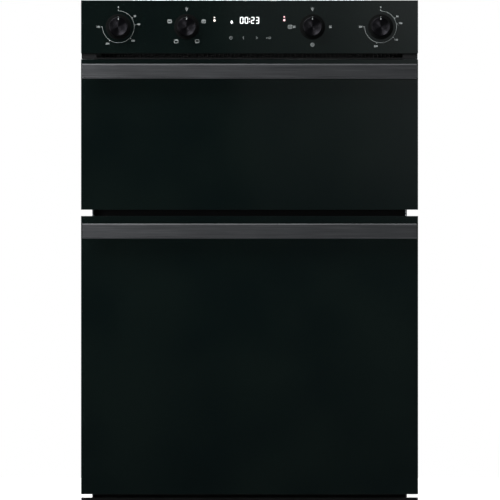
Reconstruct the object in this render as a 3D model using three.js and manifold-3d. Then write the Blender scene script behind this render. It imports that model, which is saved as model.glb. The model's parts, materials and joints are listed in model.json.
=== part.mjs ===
// Built-in double wall oven: an upper and a lower oven behind two drop-down doors, under one control panel.
// Millimetres, +Z up, the doors face -Y. While the pieces are made, y = 0 is the front face of the kitchen
// housing that the oven slides into. At the end the whole group moves along Y, so that the origin is at the
// bottom centre of the oven.
import * as THREE from "three";
import { mergeVertices } from "three/addons/utils/BufferGeometryUtils.js";
import Module from "manifold-3d";

// ---------------------------------------------------------------- driving dimensions

const fit = 0.3; // gap between pieces that touch
const overcut = 1; // how far a cutting tool runs past what it cuts

const front = {
  width: 595,
  height: 888,
  face: -22, // front face of the panes and of the control panel
  pane: 4, // thickness of the outer and inner panes
  panelHeight: 93.7,
  airGap: 10.6, // air outlet between the control panel and the upper door
  upperDoorHeight: 265.4,
  doorGap: 11.1,
};
const chassis = {
  flangeReach: 19.5, // how far the front stands past each side
  depth: 548, // housing face to the rearmost piece
  topDrop: 12, // below the top of the control panel
  sheet: 0.8,
  rearFold: 15, // side panels turned in, in front of the back panel
  frameSheet: 1.5, // front frame, flanges, lip and panel support
};
const lip = { height: 10, clearance: 6 }; // folded front of the base, and the room over it
const flange = {
  edgeInset: 1,
  lift: 3,
  relief: 0.5,
  holeRadius: 2.6,
  holeInset: 8,
  holeFromEnd: 60,
};
const terminal = {
  width: 96,
  height: 62,
  depth: 18,
  drop: 24,
  sideInset: 40,
  wall: 2,
  gland: 22,
  cableRadius: 5.5,
};
const backSlots = { count: 9, pitch: 22, width: 6, length: 60, drop: 90, centre: 110 };
const topSlots = { count: 9, pitch: 26, width: 8, length: 70, rearInset: 60 };

const doorBody = {
  sheet: 1.2,
  sideInset: 23.5, // inside each side edge of the outer pane
  endInset: 4, // inside the pane's top and bottom edges
  rear: -1,
  linerRear: 8.3, // rear face of the narrow part, which carries the inner pane
  linerMargin: 16, // narrow part past the cavity mouth
  seatMargin: 6, // seat of the middle pane past the cavity mouth
  viewInset: 6, // view through the door inside the cavity mouth
  stileWall: 8, // pocket of the hinge to the door's side
  middlePane: 3,
  paneEdge: 0.5, // middle pane inside its seat
};
const mouthMargins = {
  upper: { below: 44.7, above: 30.7 }, // edges of the outer pane to the cavity mouth
  lower: { below: 54, above: 82.2 },
};
const handle = {
  inset: 2.8, // bar end to the edge of the pane
  height: 26.5,
  thickness: 12,
  fingerRoom: 30,
  chamfer: 2,
  postWidth: 14,
  postInset: 22, // bar end to post
  postTrim: 4, // a post is lower than the bar by this, above and below
  drop: { upper: 8.2, lower: 13.4 }, // pane's top edge to the bar's
};
const hinge = {
  axisLift: 9, // above the pane's bottom edge
  axisDepth: 13, // behind the pane's front face
  pin: 3.8,
  pinClearance: 0.5,
  boss: 6.5,
  bossClearance: 1.5, // cheek in the front frame's slot
  cheek: 3,
  arm: 4,
  armReach: 105, // arm inside the door's stile, above the axis
  room: 3.5, // free space beside the cheek
  pocketRoom: 10, // pocket above the end of the arm
  bodyRear: 150,
  bodyHeight: 22,
  bodyWidth: 16,
  cheekRoot: 22, // closed front end of the channel, where the cheek is fixed
};

const cavity = {
  sideRoom: 48, // chassis side to the inside of the cavity
  rearRoom: { upper: 106, lower: 96 }, // back panel to the inside of the cavity
  wall: 1.2,
  rim: 14, // flange round the mouth, behind the front frame
  mouthRadius: 12,
  insulation: 20,
  hingeGap: 1, // insulation to the hinges' channels
};
const sealing = { step: 2, width: 10, foot: 2.8, radius: 22 };
const shelfWire = { rail: 3, cross: 2.7, grid: 1.6, gridCount: 13, frontGap: 14 };
const runner = { wire: 2, gap: 0.5, sideGap: 3.5, endInset: 14, frontInset: 26, overrun: 14 };
const rack = { // margin: end levels to the floor and the roof
  levels: 5,
  margin: 62,
  shelfLevel: 1,
};
const ledge = {
  reach: 8,
  height: 4,
  levels: 3,
  pitch: 44,
  shelfHeight: 72,
  frontInset: 22,
  rearInset: 20,
};
const lamp = { radius: 19, hole: 16, depth: 9, inset: 46, neckGap: 1 };

const element = { radius: 3.3, holeGap: 0.8, tail: 24, bend: 14 };
const grill = { halfWidth: 150, lanes: 6, roofGap: 20, frontInset: 45, rearInset: 40 };
const ringElement = { radius: 88, legs: 22, wallGap: 19, steps: 28 };
const fan = {
  radius: 70,
  depth: 22,
  wallGap: 5,
  blades: 8,
  bladeLength: 35,
  sheet: 1.2,
  hub: 9,
  shaft: 4,
};
const motor = {
  radius: 36,
  length: 44,
  standOff: 20,
  plate: { x: 62, z: 22, sheet: 2 },
  stud: 4,
  studInset: 8,
};
const fanCover = { depth: 40, margin: 12, sheet: 1.2, radius: 16, rearGap: 12 };
const intake = { bars: 7, pitch: 12, width: 6, radius: 46 };
const outlets = { count: 7, pitch: 22, width: 12, edge: 8 };
const blower = {
  radius: 62,
  height: 46,
  wall: 1.5,
  spout: 118,
  floorGap: 6,
  strap: 40,
  spindle: 3,
  lipWidth: 18,
};
const wheel = {
  radius: 48,
  height: 30,
  disc: 2,
  hub: 12,
  hubHeight: 18,
  vanes: 14,
  vane: 12,
  gap: 3,
  sheet: 1.6,
  pitch: 0.5,
};
const shaftClearance = 0.7;

const knob = {
  endInset: 66, // panel end to the outer knobs
  pitch: 120.5, // outer to inner knob
  foot: 19.6,
  shoulder: 17.5,
  face: 16.6,
  length: 21,
  footHeight: 4,
  faceEdge: 1.6,
  stem: 3,
  stemLength: 20,
  stemClearance: 1.5, // in the panel and its support
};
const knobRing = { outer: 22.5, inner: 17.5, thickness: 2.6, edge: 0.8 };
const switchBody = { size: 38, depth: 24, radius: 6 };
const timer = {
  width: 124,
  height: 56,
  depth: 16,
  displayWidth: 84,
  displayHeight: 24,
  displayRise: 11.8,
  gap: 1,
};
const tray = {
  edgeInset: 0.8,
  topDrop: 1.5,
  doorGap: 1.2,
  slotInset: 27,
  slotEdge: 1.6,
  armReach: 60,
  armHeight: 70,
};

// ---------------------------------------------------------------- derived places

const halfFront = front.width / 2;
const halfChassis = halfFront - chassis.flangeReach;
const halfInside = halfChassis - chassis.sheet - fit; // inside the side panels
const halfFrame = halfInside - chassis.frameSheet - fit; // inside the flanges' webs
const halfCavity = halfChassis - cavity.sideRoom;
const chassisTop = front.height - chassis.topDrop;
const panelBottom = front.height - front.panelHeight;

// Depths, from the room to the back
const barRear = front.face - handle.fingerRoom;
const barFront = barRear - handle.thickness;
const paneRear = front.face + front.pane;
const bodyFront = paneRear + fit;
const innerPaneFront = doorBody.linerRear + fit;
const innerPaneRear = innerPaneFront + front.pane;
const sealFront = innerPaneRear + fit;
const frameFront = sealFront + sealing.foot + fit;
const frameRear = frameFront + chassis.frameSheet;
const cavityFront = frameRear + fit;
const backPanelRear = chassis.depth - terminal.depth - fit;
const backPanelFront = backPanelRear - chassis.sheet;
const axisY = front.face + hinge.axisDepth;

// Heights of one door, its hinge axis and handle, and the size of the cavity behind it.
function planOven(place, bottom, top) {
  const { below, above } = mouthMargins[place];
  return {
    place,
    bottom,
    top,
    axisZ: bottom + hinge.axisLift,
    handleTop: top - handle.drop[place],
    mouth: [bottom + below, top - above],
    rear: backPanelFront - cavity.rearRoom[place],
  };
}

const upperTop = panelBottom - front.airGap;
const upperBottom = upperTop - front.upperDoorHeight;
const upper = planOven("upper", upperBottom, upperTop);
const lower = planOven("lower", lip.height + lip.clearance, upperBottom - front.doorGap);
const ovens = [upper, lower];
const sides = [["left", -1], ["right", 1]];

// Distances of the hinge's pieces from the centre plane
const halfBody = halfFront - doorBody.sideInset;
const pocketFar = halfBody - doorBody.stileWall;
const armFar = pocketFar - fit;
const armNear = armFar - hinge.arm;
const cheekFar = armNear - hinge.room;
const cheekNear = cheekFar - hinge.cheek;
const pocketNear = cheekNear - hinge.room;
const channelNear = (cheekNear + cheekFar - hinge.bodyWidth) / 2;
const channelFar = channelNear + hinge.bodyWidth;

// ---------------------------------------------------------------- solids

const wasm = await Module();
wasm.setup();

// A closed three.js geometry as a solid that can be joined and cut.
function solid(geometry) {
  ["normal", "uv"].forEach((name) => geometry.deleteAttribute(name));
  const merged = mergeVertices(geometry, 1e-4);
  const vertProperties = new Float32Array(merged.attributes.position.array);
  const triVerts = new Uint32Array(merged.index.array);
  return new wasm.Manifold(new wasm.Mesh({ numProp: 3, vertProperties, triVerts }));
}

const join = (pieces) => pieces.reduce((sum, piece) => sum.add(piece));
const cut = (body, tools) => tools.reduce((rest, tool) => rest.subtract(tool), body);

// Spans are [low, high] pairs.
const about = (middle, length) => [middle - length / 2, middle + length / 2];
const centred = (half) => [-half, half];
const grown = ([low, high], by) => [low - by, high + by];
const onSide = (side, near, far) => (side > 0 ? [near, far] : [-far, -near]);

// Spans of one length, evenly spaced about a centre.
function row(count, pitch, length, centre = 0) {
  return Array.from({ length: count }, (_, i) => about(centre + (i - (count - 1) / 2) * pitch, length));
}

function block([x0, x1], [y0, y1], [z0, z1]) {
  const geometry = new THREE.BoxGeometry(x1 - x0, y1 - y0, z1 - z0);
  return solid(geometry.translate((x0 + x1) / 2, (y0 + y1) / 2, (z0 + z1) / 2));
}

function roundedRectangle([u0, u1], [v0, v1], radius) {
  const shape = new THREE.Shape();
  shape.absarc(u1 - radius, v0 + radius, radius, -Math.PI / 2, 0);
  shape.absarc(u1 - radius, v1 - radius, radius, 0, Math.PI / 2);
  shape.absarc(u0 + radius, v1 - radius, radius, Math.PI / 2, Math.PI);
  shape.absarc(u0 + radius, v0 + radius, radius, Math.PI, Math.PI * 1.5);
  return shape;
}

// Extrusions along Y of an (x, z) outline, along X of a (y, z) outline and along Z of an (x, y) outline.
function extrude(shape, depth, curveSegments) {
  return new THREE.ExtrudeGeometry(shape, { depth, bevelEnabled: false, curveSegments });
}

function extrudeY(shape, [y0, y1], curveSegments = 3) {
  return solid(extrude(shape, y1 - y0, curveSegments).rotateX(Math.PI / 2).translate(0, y1, 0));
}

function extrudeX(shape, [x0, x1]) {
  return solid(extrude(shape, x1 - x0, 1).rotateY(Math.PI / 2).rotateX(Math.PI / 2).translate(x0, 0, 0));
}

function extrudeZ(shape, [z0, z1], curveSegments = 3) {
  return solid(extrude(shape, z1 - z0, curveSegments).translate(0, 0, z0));
}

// A round bar between two points.
function rod(from, to, radius, sideCount = 12) {
  const [a, b] = [new THREE.Vector3(...from), new THREE.Vector3(...to)];
  const run = b.clone().sub(a);
  const turn = new THREE.Quaternion().setFromUnitVectors(new THREE.Vector3(0, 1, 0), run.clone().normalize());
  const geometry = new THREE.CylinderGeometry(radius, radius, run.length(), sideCount);
  const { x, y, z } = a.add(b).multiplyScalar(0.5);
  return solid(geometry.applyQuaternion(turn).translate(x, y, z));
}

// Round bars along Y and along X.
const rodY = ([x, z], [y0, y1], radius, sideCount) => rod([x, y0, z], [x, y1, z], radius, sideCount);
const rodX = ([y, z], [x0, x1], radius, sideCount) => rod([x0, y, z], [x1, y, z], radius, sideCount);

// A body of revolution about the Y direction through (x, z); the profile lists [radius, y].
function turned([x, z], profile, sideCount = 24) {
  const points = profile.map(([radius, y]) => new THREE.Vector2(radius, y));
  return solid(new THREE.LatheGeometry(points, sideCount).translate(x, 0, z));
}

// A path that visits its points one by one, so that a tube spends its steps in the bends.
class Route extends THREE.Curve {
  constructor(points) {
    super();
    this.points = points;
  }
  getPoint(t, target = new THREE.Vector3()) {
    return target.copy(this.points[Math.round(t * (this.points.length - 1))]);
  }
  getPointAt(u, target) {
    return this.getPoint(u, target);
  }
  getTangentAt(u, target = new THREE.Vector3()) {
    const last = this.points.length - 1;
    const here = Math.round(u * last);
    const ahead = this.points[Math.min(here + 1, last)];
    return target.copy(ahead).sub(this.points[Math.max(here - 1, 0)]).normalize();
  }
}

// Points of a route with a round bend at each inner corner.
function bentRoute(corners, bend, steps = 3) {
  const spots = corners.map((corner) => new THREE.Vector3(...corner));
  const towards = (from, to) => from.clone().add(to.clone().sub(from).setLength(bend));
  const bends = spots.slice(1, -1).flatMap((spot, i) => {
    const [before, after] = [towards(spot, spots[i]), towards(spot, spots[i + 2])];
    return new THREE.QuadraticBezierCurve3(before, spot, after).getPoints(steps);
  });
  return [spots[0], ...bends, spots.at(-1)];
}

function tube(points, radius) {
  const section = new THREE.Shape().absarc(0, 0, radius, 0, 2 * Math.PI);
  const options = { steps: points.length - 1, extrudePath: new Route(points), curveSegments: 4 };
  return solid(new THREE.ExtrudeGeometry(section, options));
}

// ---------------------------------------------------------------- the group and its materials

const oven = new THREE.Group();

const material = (color, roughness, metalness) =>
  new THREE.MeshStandardMaterial({ color, roughness, metalness });
const finishes = {
  blackGlass: material(0x0b0d0d, 0.05, 0),
  clearGlass: material(0x6d7672, 0.05, 0),
  darkAluminium: material(0x3a3a3b, 0.35, 0.9),
  blackPlastic: material(0x141414, 0.4, 0),
  whitePlastic: material(0xcfcdc6, 0.5, 0),
  blackEnamel: material(0x101112, 0.25, 0),
  cavityEnamel: material(0x24262b, 0.3, 0),
  galvanised: material(0xa4a9ad, 0.4, 0.9),
  steel: material(0x8d9093, 0.35, 0.9),
  chrome: material(0xc9ccce, 0.15, 1),
  elementSheath: material(0x3b3a38, 0.5, 0.6),
  rubber: material(0x2a2a29, 0.8, 0),
  mineralWool: material(0xd8cf9f, 0.95, 0),
};

function add(name, body, finish) {
  const { vertProperties, triVerts } = body.getMesh();
  const geometry = new THREE.BufferGeometry();
  geometry.setAttribute("position", new THREE.BufferAttribute(vertProperties, 3));
  geometry.setIndex(new THREE.BufferAttribute(triVerts, 1));
  geometry.computeVertexNormals();
  const mesh = new THREE.Mesh(geometry, finish);
  mesh.name = name;
  oven.add(mesh);
}

// ---------------------------------------------------------------- chassis

// Each side panel ends in a fold behind which the back panel is screwed.
function addSidePanels() {
  const foldRear = backPanelFront - fit;
  const foldZs = grown([0, chassisTop], -chassis.sheet - fit);
  for (const [name, side] of sides) {
    const xs = onSide(side, halfChassis - chassis.sheet, halfChassis);
    const panel = block(xs, [fit, backPanelRear], [0, chassisTop]);
    const foldXs = onSide(side, halfChassis - chassis.rearFold, halfChassis);
    const fold = block(foldXs, [foldRear - chassis.sheet, foldRear], foldZs);
    add(`side_panel_${name}`, panel.add(fold), finishes.galvanised);
  }
}

// Radius of the round ends of a slot; a hair less than half its width, so that the ends meet cleanly.
const slotEnd = (width) => width / 2 - 0.1;

function addBackPanel() {
  const { count, pitch, width, length, drop, centre } = backSlots;
  const heights = [chassisTop - drop - length, chassisTop - drop];
  const through = grown([backPanelFront, backPanelRear], overcut);
  const vents = row(count, pitch, width, centre).map((xs) =>
    extrudeY(roundedRectangle(xs, heights, slotEnd(width)), through, 1),
  );
  const zs = grown([0, chassisTop], -chassis.sheet - fit);
  const panel = block(centred(halfInside), [backPanelFront, backPanelRear], zs);
  add("back_panel", cut(panel, vents), finishes.galvanised);
}

function addTopCover() {
  const { count, pitch, width, length, rearInset } = topSlots;
  const ys = [backPanelFront - rearInset - length, backPanelFront - rearInset];
  const zs = [chassisTop - chassis.sheet, chassisTop];
  const vents = row(count, pitch, width).map((xs) =>
    extrudeZ(roundedRectangle(xs, ys, slotEnd(width)), grown(zs, overcut), 1),
  );
  add("top_cover", cut(block(centred(halfInside), [fit, backPanelRear], zs), vents), finishes.galvanised);
}

// The base carries the oven. Its front is folded up into the lip under the lower door.
function addBasePanel() {
  const plate = block(centred(halfInside), [-chassis.frameSheet, backPanelRear], [0, chassis.sheet]);
  const fold = block(centred(halfFront), [-chassis.frameSheet, 0], [0, lip.height]);
  add("base_panel", plate.add(fold), finishes.blackEnamel);
}

// Enamelled plate with the two mouths and a slot for each hinge's cheek.
function addFrontFrame() {
  const plate = block(centred(halfFrame), [frameFront, frameRear], [chassis.sheet + fit, upper.top]);
  const through = grown([frameFront, frameRear], overcut);
  const mouths = ovens.map(({ mouth }) =>
    extrudeY(roundedRectangle(centred(halfCavity), mouth, cavity.mouthRadius), through),
  );
  const slotWidth = [cheekNear - hinge.bossClearance, cheekFar + hinge.bossClearance];
  const slots = ovens.flatMap(({ axisZ }) =>
    sides.map(([, side]) =>
      block(onSide(side, ...slotWidth), through, about(axisZ, 2 * (hinge.boss + hinge.bossClearance))),
    ),
  );
  add("front_frame", cut(plate, [...mouths, ...slots]), finishes.blackEnamel);
}

// Angle strips: the web lies inside the side panel, and the flange seats on the front edge of the housing. A
// relief in the flange's rear face keeps the seat clear of the side panel's edge.
// Between the doors the flange is cut back, for the bottom edge of the upper door when that is open.
function addMountingFlanges() {
  const zs = [lower.bottom + flange.lift, panelBottom];
  const notch = [lower.top - front.doorGap, upper.bottom + front.doorGap];
  const webNear = halfInside - chassis.frameSheet;
  const flangeFar = halfFront - flange.edgeInset;
  const flangeYs = [-chassis.frameSheet, 0];
  const holeHeights = [
    lower.bottom + flange.holeFromEnd,
    notch[0] - flange.holeFromEnd,
    notch[1] + flange.holeFromEnd,
    upper.top - flange.holeFromEnd,
  ];
  for (const [name, side] of sides) {
    const web = block(onSide(side, webNear, halfInside), [-chassis.frameSheet, frameRear], zs);
    const seat = block(onSide(side, webNear, flangeFar), flangeYs, zs);
    const gapYs = [-chassis.frameSheet - overcut, flange.lift];
    const gap = block(onSide(side, webNear - overcut, halfFront), gapYs, notch);
    const holes = holeHeights.map((z) =>
      rodY([side * (flangeFar - flange.holeInset), z], grown(flangeYs, overcut), flange.holeRadius),
    );
    const reliefXs = onSide(side, halfInside, halfChassis + fit);
    const relief = block(reliefXs, [-flange.relief, overcut], grown(zs, overcut));
    add(`mounting_flange_${name}`, cut(web.add(seat), [gap, relief, ...holes]), finishes.galvanised);
  }
}

// Cover over the mains terminals, with a cable gland under it.
function addTerminalCover() {
  const { width, height, wall, cableRadius } = terminal;
  const xs = [terminal.sideInset - halfChassis, terminal.sideInset - halfChassis + width];
  const zs = [chassisTop - terminal.drop - height, chassisTop - terminal.drop];
  const ys = [backPanelRear + fit, chassis.depth];
  const shell = block(xs, ys, zs);
  const inside = block(grown(xs, -wall), [ys[0] - overcut, ys[1] - wall], grown(zs, -wall));
  const [x, y] = [xs[0] + width / 2, (ys[0] + ys[1]) / 2];
  const glandEnd = zs[0] - terminal.gland;
  const gland = rod([x, y, zs[0] + wall], [x, y, glandEnd], terminal.depth / 2 - fit);
  const bore = rod([x, y, zs[0] + wall + overcut], [x, y, glandEnd - overcut], cableRadius);
  add("terminal_cover", cut(shell.add(gland), [inside, bore]), finishes.blackPlastic);
}

// ---------------------------------------------------------------- cavities and what lines them

// A sheet box, open at the front, with a rim round its mouth.
function cavityShell({ mouth, rear }) {
  const { wall, rim } = cavity;
  const shell = block(centred(halfCavity + wall), [cavityFront, rear + wall], grown(mouth, wall));
  const rimPlate = block(centred(halfCavity + rim), [cavityFront, cavityFront + wall], grown(mouth, rim));
  const inside = block(centred(halfCavity), [cavityFront - overcut, rear], mouth);
  return shell.add(rimPlate).subtract(inside);
}

const wallSpan = ({ rear }) => [rear, rear + cavity.wall];

// Where the lamp, the elements' legs and the fan's shaft pass through a cavity's rear wall.
const lampPlace = ({ mouth }) => [halfCavity - lamp.inset, mouth[1] - lamp.inset];
const fanZ = (lower.mouth[0] + lower.mouth[1]) / 2;
const legDrop = Math.sqrt(ringElement.radius ** 2 - ringElement.legs ** 2);
const ringLegs = [-1, 1].map((side) => [side * ringElement.legs, fanZ - legDrop]);
const grillLegs = [-1, 1].map((side) => [side * grill.halfWidth, upper.mouth[1] - grill.roofGap]);
const legHole = element.radius + element.holeGap;

// Heights of the lower shelf's runners and of the upper shelf's ledges.
const rackPitch = (lower.mouth[1] - lower.mouth[0] - 2 * rack.margin) / (rack.levels - 1);
const levelZ = (level) => lower.mouth[0] + rack.margin + level * rackPitch;
const lowerShelfZ = levelZ(rack.shelfLevel);
const upperShelfZ = upper.mouth[0] + ledge.shelfHeight;
const halfRunnerSlot = shelfWire.rail + runner.gap;

// Pairs of ribs pressed into the upper cavity's sides, which the shelf slides between.
function sideLedges() {
  const ys = [cavityFront + ledge.frontInset, upper.rear - ledge.rearInset];
  return row(ledge.levels, ledge.pitch, 2 * halfRunnerSlot, upperShelfZ).flatMap(([low, high]) =>
    sides.flatMap(([, side]) =>
      [[low - ledge.height, low], [high, high + ledge.height]].map((zs) =>
        block(onSide(side, halfCavity - ledge.reach, halfCavity + cavity.wall / 2), ys, zs),
      ),
    ),
  );
}

function addCavities() {
  const holes = (places, oneOven, radius) =>
    places.map((place) => rodY(place, grown(wallSpan(oneOven), overcut), radius));
  const lampHole = (oneOven) => holes([lampPlace(oneOven)], oneOven, lamp.hole);
  const shaftHole = holes([[0, fanZ]], lower, fan.shaft + 2 * shaftClearance);
  const upperHoles = [...holes(grillLegs, upper, legHole), ...lampHole(upper)];
  const lowerHoles = [...holes(ringLegs, lower, legHole), ...lampHole(lower), ...shaftHole];
  const ribbed = join([cavityShell(upper), ...sideLedges()]);
  add("upper_cavity", cut(ribbed, upperHoles), finishes.cavityEnamel);
  add("lower_cavity", cut(cavityShell(lower), lowerHoles), finishes.cavityEnamel);
}

// Mineral wool wrapped round each cavity, behind its rim, and cut out where a hinge would meet it.
function addInsulation() {
  for (const { place, mouth, rear, axisZ } of ovens) {
    const inner = cavity.wall + fit;
    const outer = inner + cavity.insulation;
    const ys = [cavityFront + cavity.wall + fit, rear];
    const wrap = block(centred(halfCavity + outer), ys, grown(mouth, outer));
    const hollow = block(centred(halfCavity + inner), grown(ys, overcut), grown(mouth, inner));
    const hingeRoom = sides.map(([, side]) =>
      block(
        onSide(side, ...grown([channelNear, channelFar], cavity.hingeGap)),
        [cavityFront, hinge.bodyRear + cavity.hingeGap],
        about(axisZ, hinge.bodyHeight + 2 * cavity.hingeGap),
      ),
    );
    add(`${place}_insulation`, cut(wrap, [hollow, ...hingeRoom]), finishes.mineralWool);
  }
}

// Lamp glass: a shallow dome in front of the rear wall, and a neck through it.
function addLamps() {
  for (const oneOven of ovens) {
    const base = oneOven.rear - fit;
    const end = oneOven.rear + cavity.wall + lamp.depth;
    const dome = Array.from({ length: 4 }, (_, i) => {
      const angle = (i * Math.PI) / 8;
      return [lamp.radius * Math.sin(angle), base - lamp.depth * Math.cos(angle)];
    });
    const neck = lamp.hole - lamp.neckGap;
    const profile = [...dome, [lamp.radius, base], [neck, base], [neck, end], [0, end]];
    add(`${oneOven.place}_lamp`, turned(lampPlace(oneOven), profile, 16), finishes.clearGlass);
  }
}

// Rubber seal on the front frame, round the mouth.
function seal({ mouth }) {
  const ring = (grow, radius) => roundedRectangle(centred(halfCavity + grow), grown(mouth, grow), radius);
  const shape = ring(sealing.step + sealing.width, sealing.radius);
  shape.holes.push(ring(sealing.step, sealing.radius - sealing.width + sealing.step / 2));
  return extrudeY(shape, [sealFront, frameFront - fit]);
}

// ---------------------------------------------------------------- elements and fans

// Grill element: lanes to and fro under the roof, both ends through the rear wall.
function addGrillElement() {
  const z = upper.mouth[1] - grill.roofGap;
  const [near, far] = [cavityFront + grill.frontInset, upper.rear - grill.rearInset];
  const pitch = (2 * grill.halfWidth) / (grill.lanes - 1);
  const end = upper.rear + cavity.wall + element.tail;
  const turns = Array.from({ length: grill.lanes - 1 }, (_, i) => {
    const x = grill.halfWidth - i * pitch;
    const y = i % 2 ? far : near;
    return [[x, y, z], [x - pitch, y, z]];
  });
  const corners = [[grill.halfWidth, end, z], ...turns.flat(), [-grill.halfWidth, end, z]];
  add("grill_element", tube(bentRoute(corners, element.bend), element.radius), finishes.elementSheath);
}

// Ring element round the convection fan; both ends turn back through the rear wall.
function addRingElement() {
  const { radius, legs, steps } = ringElement;
  const [y, end] = [lower.rear - ringElement.wallGap, lower.rear + cavity.wall + element.tail];
  const gap = Math.asin(legs / radius);
  const arc = Array.from({ length: steps - 1 }, (_, i) => {
    const angle = gap + ((2 * Math.PI - 2 * gap) * (i + 1)) / steps;
    return [radius * Math.sin(angle), y, fanZ - radius * Math.cos(angle)];
  });
  const legAt = (side, legY) => [side * legs, legY, fanZ - legDrop];
  const bend = y + element.radius;
  const route = [legAt(1, end), legAt(1, bend), ...arc, legAt(-1, bend), legAt(-1, end)];
  const points = route.map((point) => new THREE.Vector3(...point));
  add("ring_element", tube(points, element.radius), finishes.elementSheath);
}

// Sheet fan wheel on its shaft; the blades are folded forwards from the disc.
function addConvectionFan() {
  const rear = lower.rear - fan.wallGap;
  const ys = [rear - fan.depth, rear];
  const disc = rodY([0, fanZ], [rear - fan.sheet, rear], fan.radius, 24);
  const hub = rodY([0, fanZ], ys, fan.hub);
  const shaft = rodY([0, fanZ], [rear - fan.sheet, motorFront + motor.length / 2], fan.shaft);
  const blades = Array.from({ length: fan.blades }, (_, i) => {
    const blade = new THREE.BoxGeometry(fan.bladeLength, fan.depth, fan.sheet);
    blade.translate(fan.radius - 2 * fan.sheet - fan.bladeLength / 2, rear - fan.depth / 2, 0);
    return solid(blade.rotateY((2 * Math.PI * i) / fan.blades).translate(0, 0, fanZ));
  });
  add("convection_fan", join([disc, hub, shaft, ...blades]), finishes.steel);
}

const motorFront = lower.rear + cavity.wall + fit + motor.standOff;

// Motor on a plate that two studs hold off the cavity's rear wall.
function addFanMotor() {
  const { x, z, sheet } = motor.plate;
  const shell = rodY([0, fanZ], [motorFront, motorFront + motor.length], motor.radius, 16);
  const plate = block(centred(x), [motorFront - sheet, motorFront], about(fanZ, 2 * z));
  const studYs = [lower.rear + cavity.wall + fit, motorFront - sheet / 2];
  const studs = [motor.studInset - x, x - motor.studInset].map((studX) =>
    rodY([studX, fanZ], studYs, motor.stud, 8),
  );
  const reach = [motorFront - sheet - overcut, motorFront + motor.length / 2 + shaftClearance];
  const bore = rodY([0, fanZ], reach, fan.shaft + shaftClearance);
  add("fan_motor", cut(join([shell, plate, ...studs]), [bore]), finishes.steel);
}

// Pressed cover in front of the fan: slots in a round intake, outlet slots at both sides.
function addFanCover() {
  const half = ringElement.radius + element.radius + fanCover.margin;
  const [y0, y1] = [lower.rear - fanCover.depth, lower.rear - fit];
  const { sheet, radius } = fanCover;
  const shell = extrudeY(roundedRectangle(centred(half), about(fanZ, 2 * half), radius), [y0, y1]);
  const inner = roundedRectangle(centred(half - sheet), about(fanZ, 2 * (half - sheet)), radius - sheet);
  const hollow = extrudeY(inner, [y0 + sheet, y1 + overcut]);
  const bars = row(intake.bars, intake.pitch, intake.width).map((xs) => {
    const middle = (xs[0] + xs[1]) / 2;
    const height = 2 * Math.sqrt(intake.radius ** 2 - middle ** 2);
    const slot = roundedRectangle(xs, about(fanZ, height), slotEnd(intake.width));
    return extrudeY(slot, [y0 - overcut, y0 + sheet + overcut], 1);
  });
  const ventYs = [y0 + outlets.edge, lower.rear - outlets.edge];
  const vents = sides.flatMap(([, side]) =>
    row(outlets.count, outlets.pitch, outlets.width, fanZ).map((zs) =>
      block(onSide(side, half - sheet - overcut, half + overcut), ventYs, zs),
    ),
  );
  add("fan_cover", cut(shell, [hollow, ...bars, ...vents]), finishes.cavityEnamel);
}

const blowerY = backPanelFront - topSlots.rearInset - topSlots.length / 2;
const blowerBottom = upper.mouth[1] + cavity.wall + fit + cavity.insulation + blower.floorGap;
const wheelBottom = blowerBottom + blower.wall + wheel.gap;
const rodZ = ([z0, z1], radius, sideCount) => rod([0, blowerY, z0], [0, blowerY, z1], radius, sideCount);

// Scroll housing of the cooling fan, open above the wheel and towards the air outlet. A strap under it runs
// from side panel to side panel, and a spindle stands in the middle.
function addCoolingFanHousing() {
  const { radius, wall } = blower;
  const zs = [blowerBottom, blowerBottom + blower.height];
  const hollow = grown(zs, -wall);
  const mouthY = blowerY - blower.spout;
  const outside = rodZ(zs, radius + wall, 24).add(block(centred(radius + wall), [mouthY, blowerY], zs));
  const inside = rodZ(hollow, radius, 24).add(block(centred(radius), [mouthY - overcut, blowerY], hollow));
  const inlet = rodZ([zs[1] - wall - overcut, zs[1] + overcut], radius - blower.lipWidth, 24);
  const floor = [blowerBottom, blowerBottom + wall];
  const strap = block(centred(halfInside - fit), about(blowerY, blower.strap), floor);
  const spindle = rodZ([blowerBottom, wheelBottom + wheel.hubHeight], blower.spindle);
  add("cooling_fan_housing", join([cut(outside, [inside, inlet]), strap, spindle]), finishes.galvanised);
}

function addCoolingFan() {
  const disc = rodZ([wheelBottom, wheelBottom + wheel.disc], wheel.radius, 24);
  const hubSpan = [wheelBottom, wheelBottom + wheel.hubHeight];
  const vanes = Array.from({ length: wheel.vanes }, (_, i) => {
    const vane = new THREE.BoxGeometry(wheel.vane, wheel.sheet, wheel.height).rotateZ(wheel.pitch);
    vane.translate(wheel.radius - wheel.vane / 2 - wheel.sheet, 0, wheel.height / 2);
    return solid(vane.rotateZ((2 * Math.PI * i) / wheel.vanes).translate(0, blowerY, wheelBottom));
  });
  const bore = rodZ(grown(hubSpan, overcut), blower.spindle + shaftClearance);
  add("cooling_fan", cut(join([disc, rodZ(hubSpan, wheel.hub), ...vanes]), [bore]), finishes.steel);
}

// ---------------------------------------------------------------- shelves and side racks

const uprightX = halfCavity - runner.sideGap;
const runnerX = uprightX - 1.6 * runner.wire; // the runners are welded into the uprights

// A wire shelf: two side rails, three cross bars and a grid laid on them.
function shelf(halfWidth, rear, z) {
  const { rail, cross, grid, gridCount } = shelfWire;
  const x = halfWidth - rail;
  const ys = [frameRear + shelfWire.frontGap + rail, rear - rail];
  const rails = [-x, x].map((railX) => rodY([railX, z], grown(ys, rail / 2), rail, 8));
  const bars = [ys[0], (ys[0] + ys[1]) / 2, ys[1]].map((y) => rodX([y, z], centred(x), cross, 8));
  const wires = row(gridCount, (2 * x) / (gridCount + 1), 0).map(([wireX]) =>
    rodY([wireX, z + cross - grid / 2], ys, grid, 6),
  );
  return join([...rails, ...bars, ...wires]);
}

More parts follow.
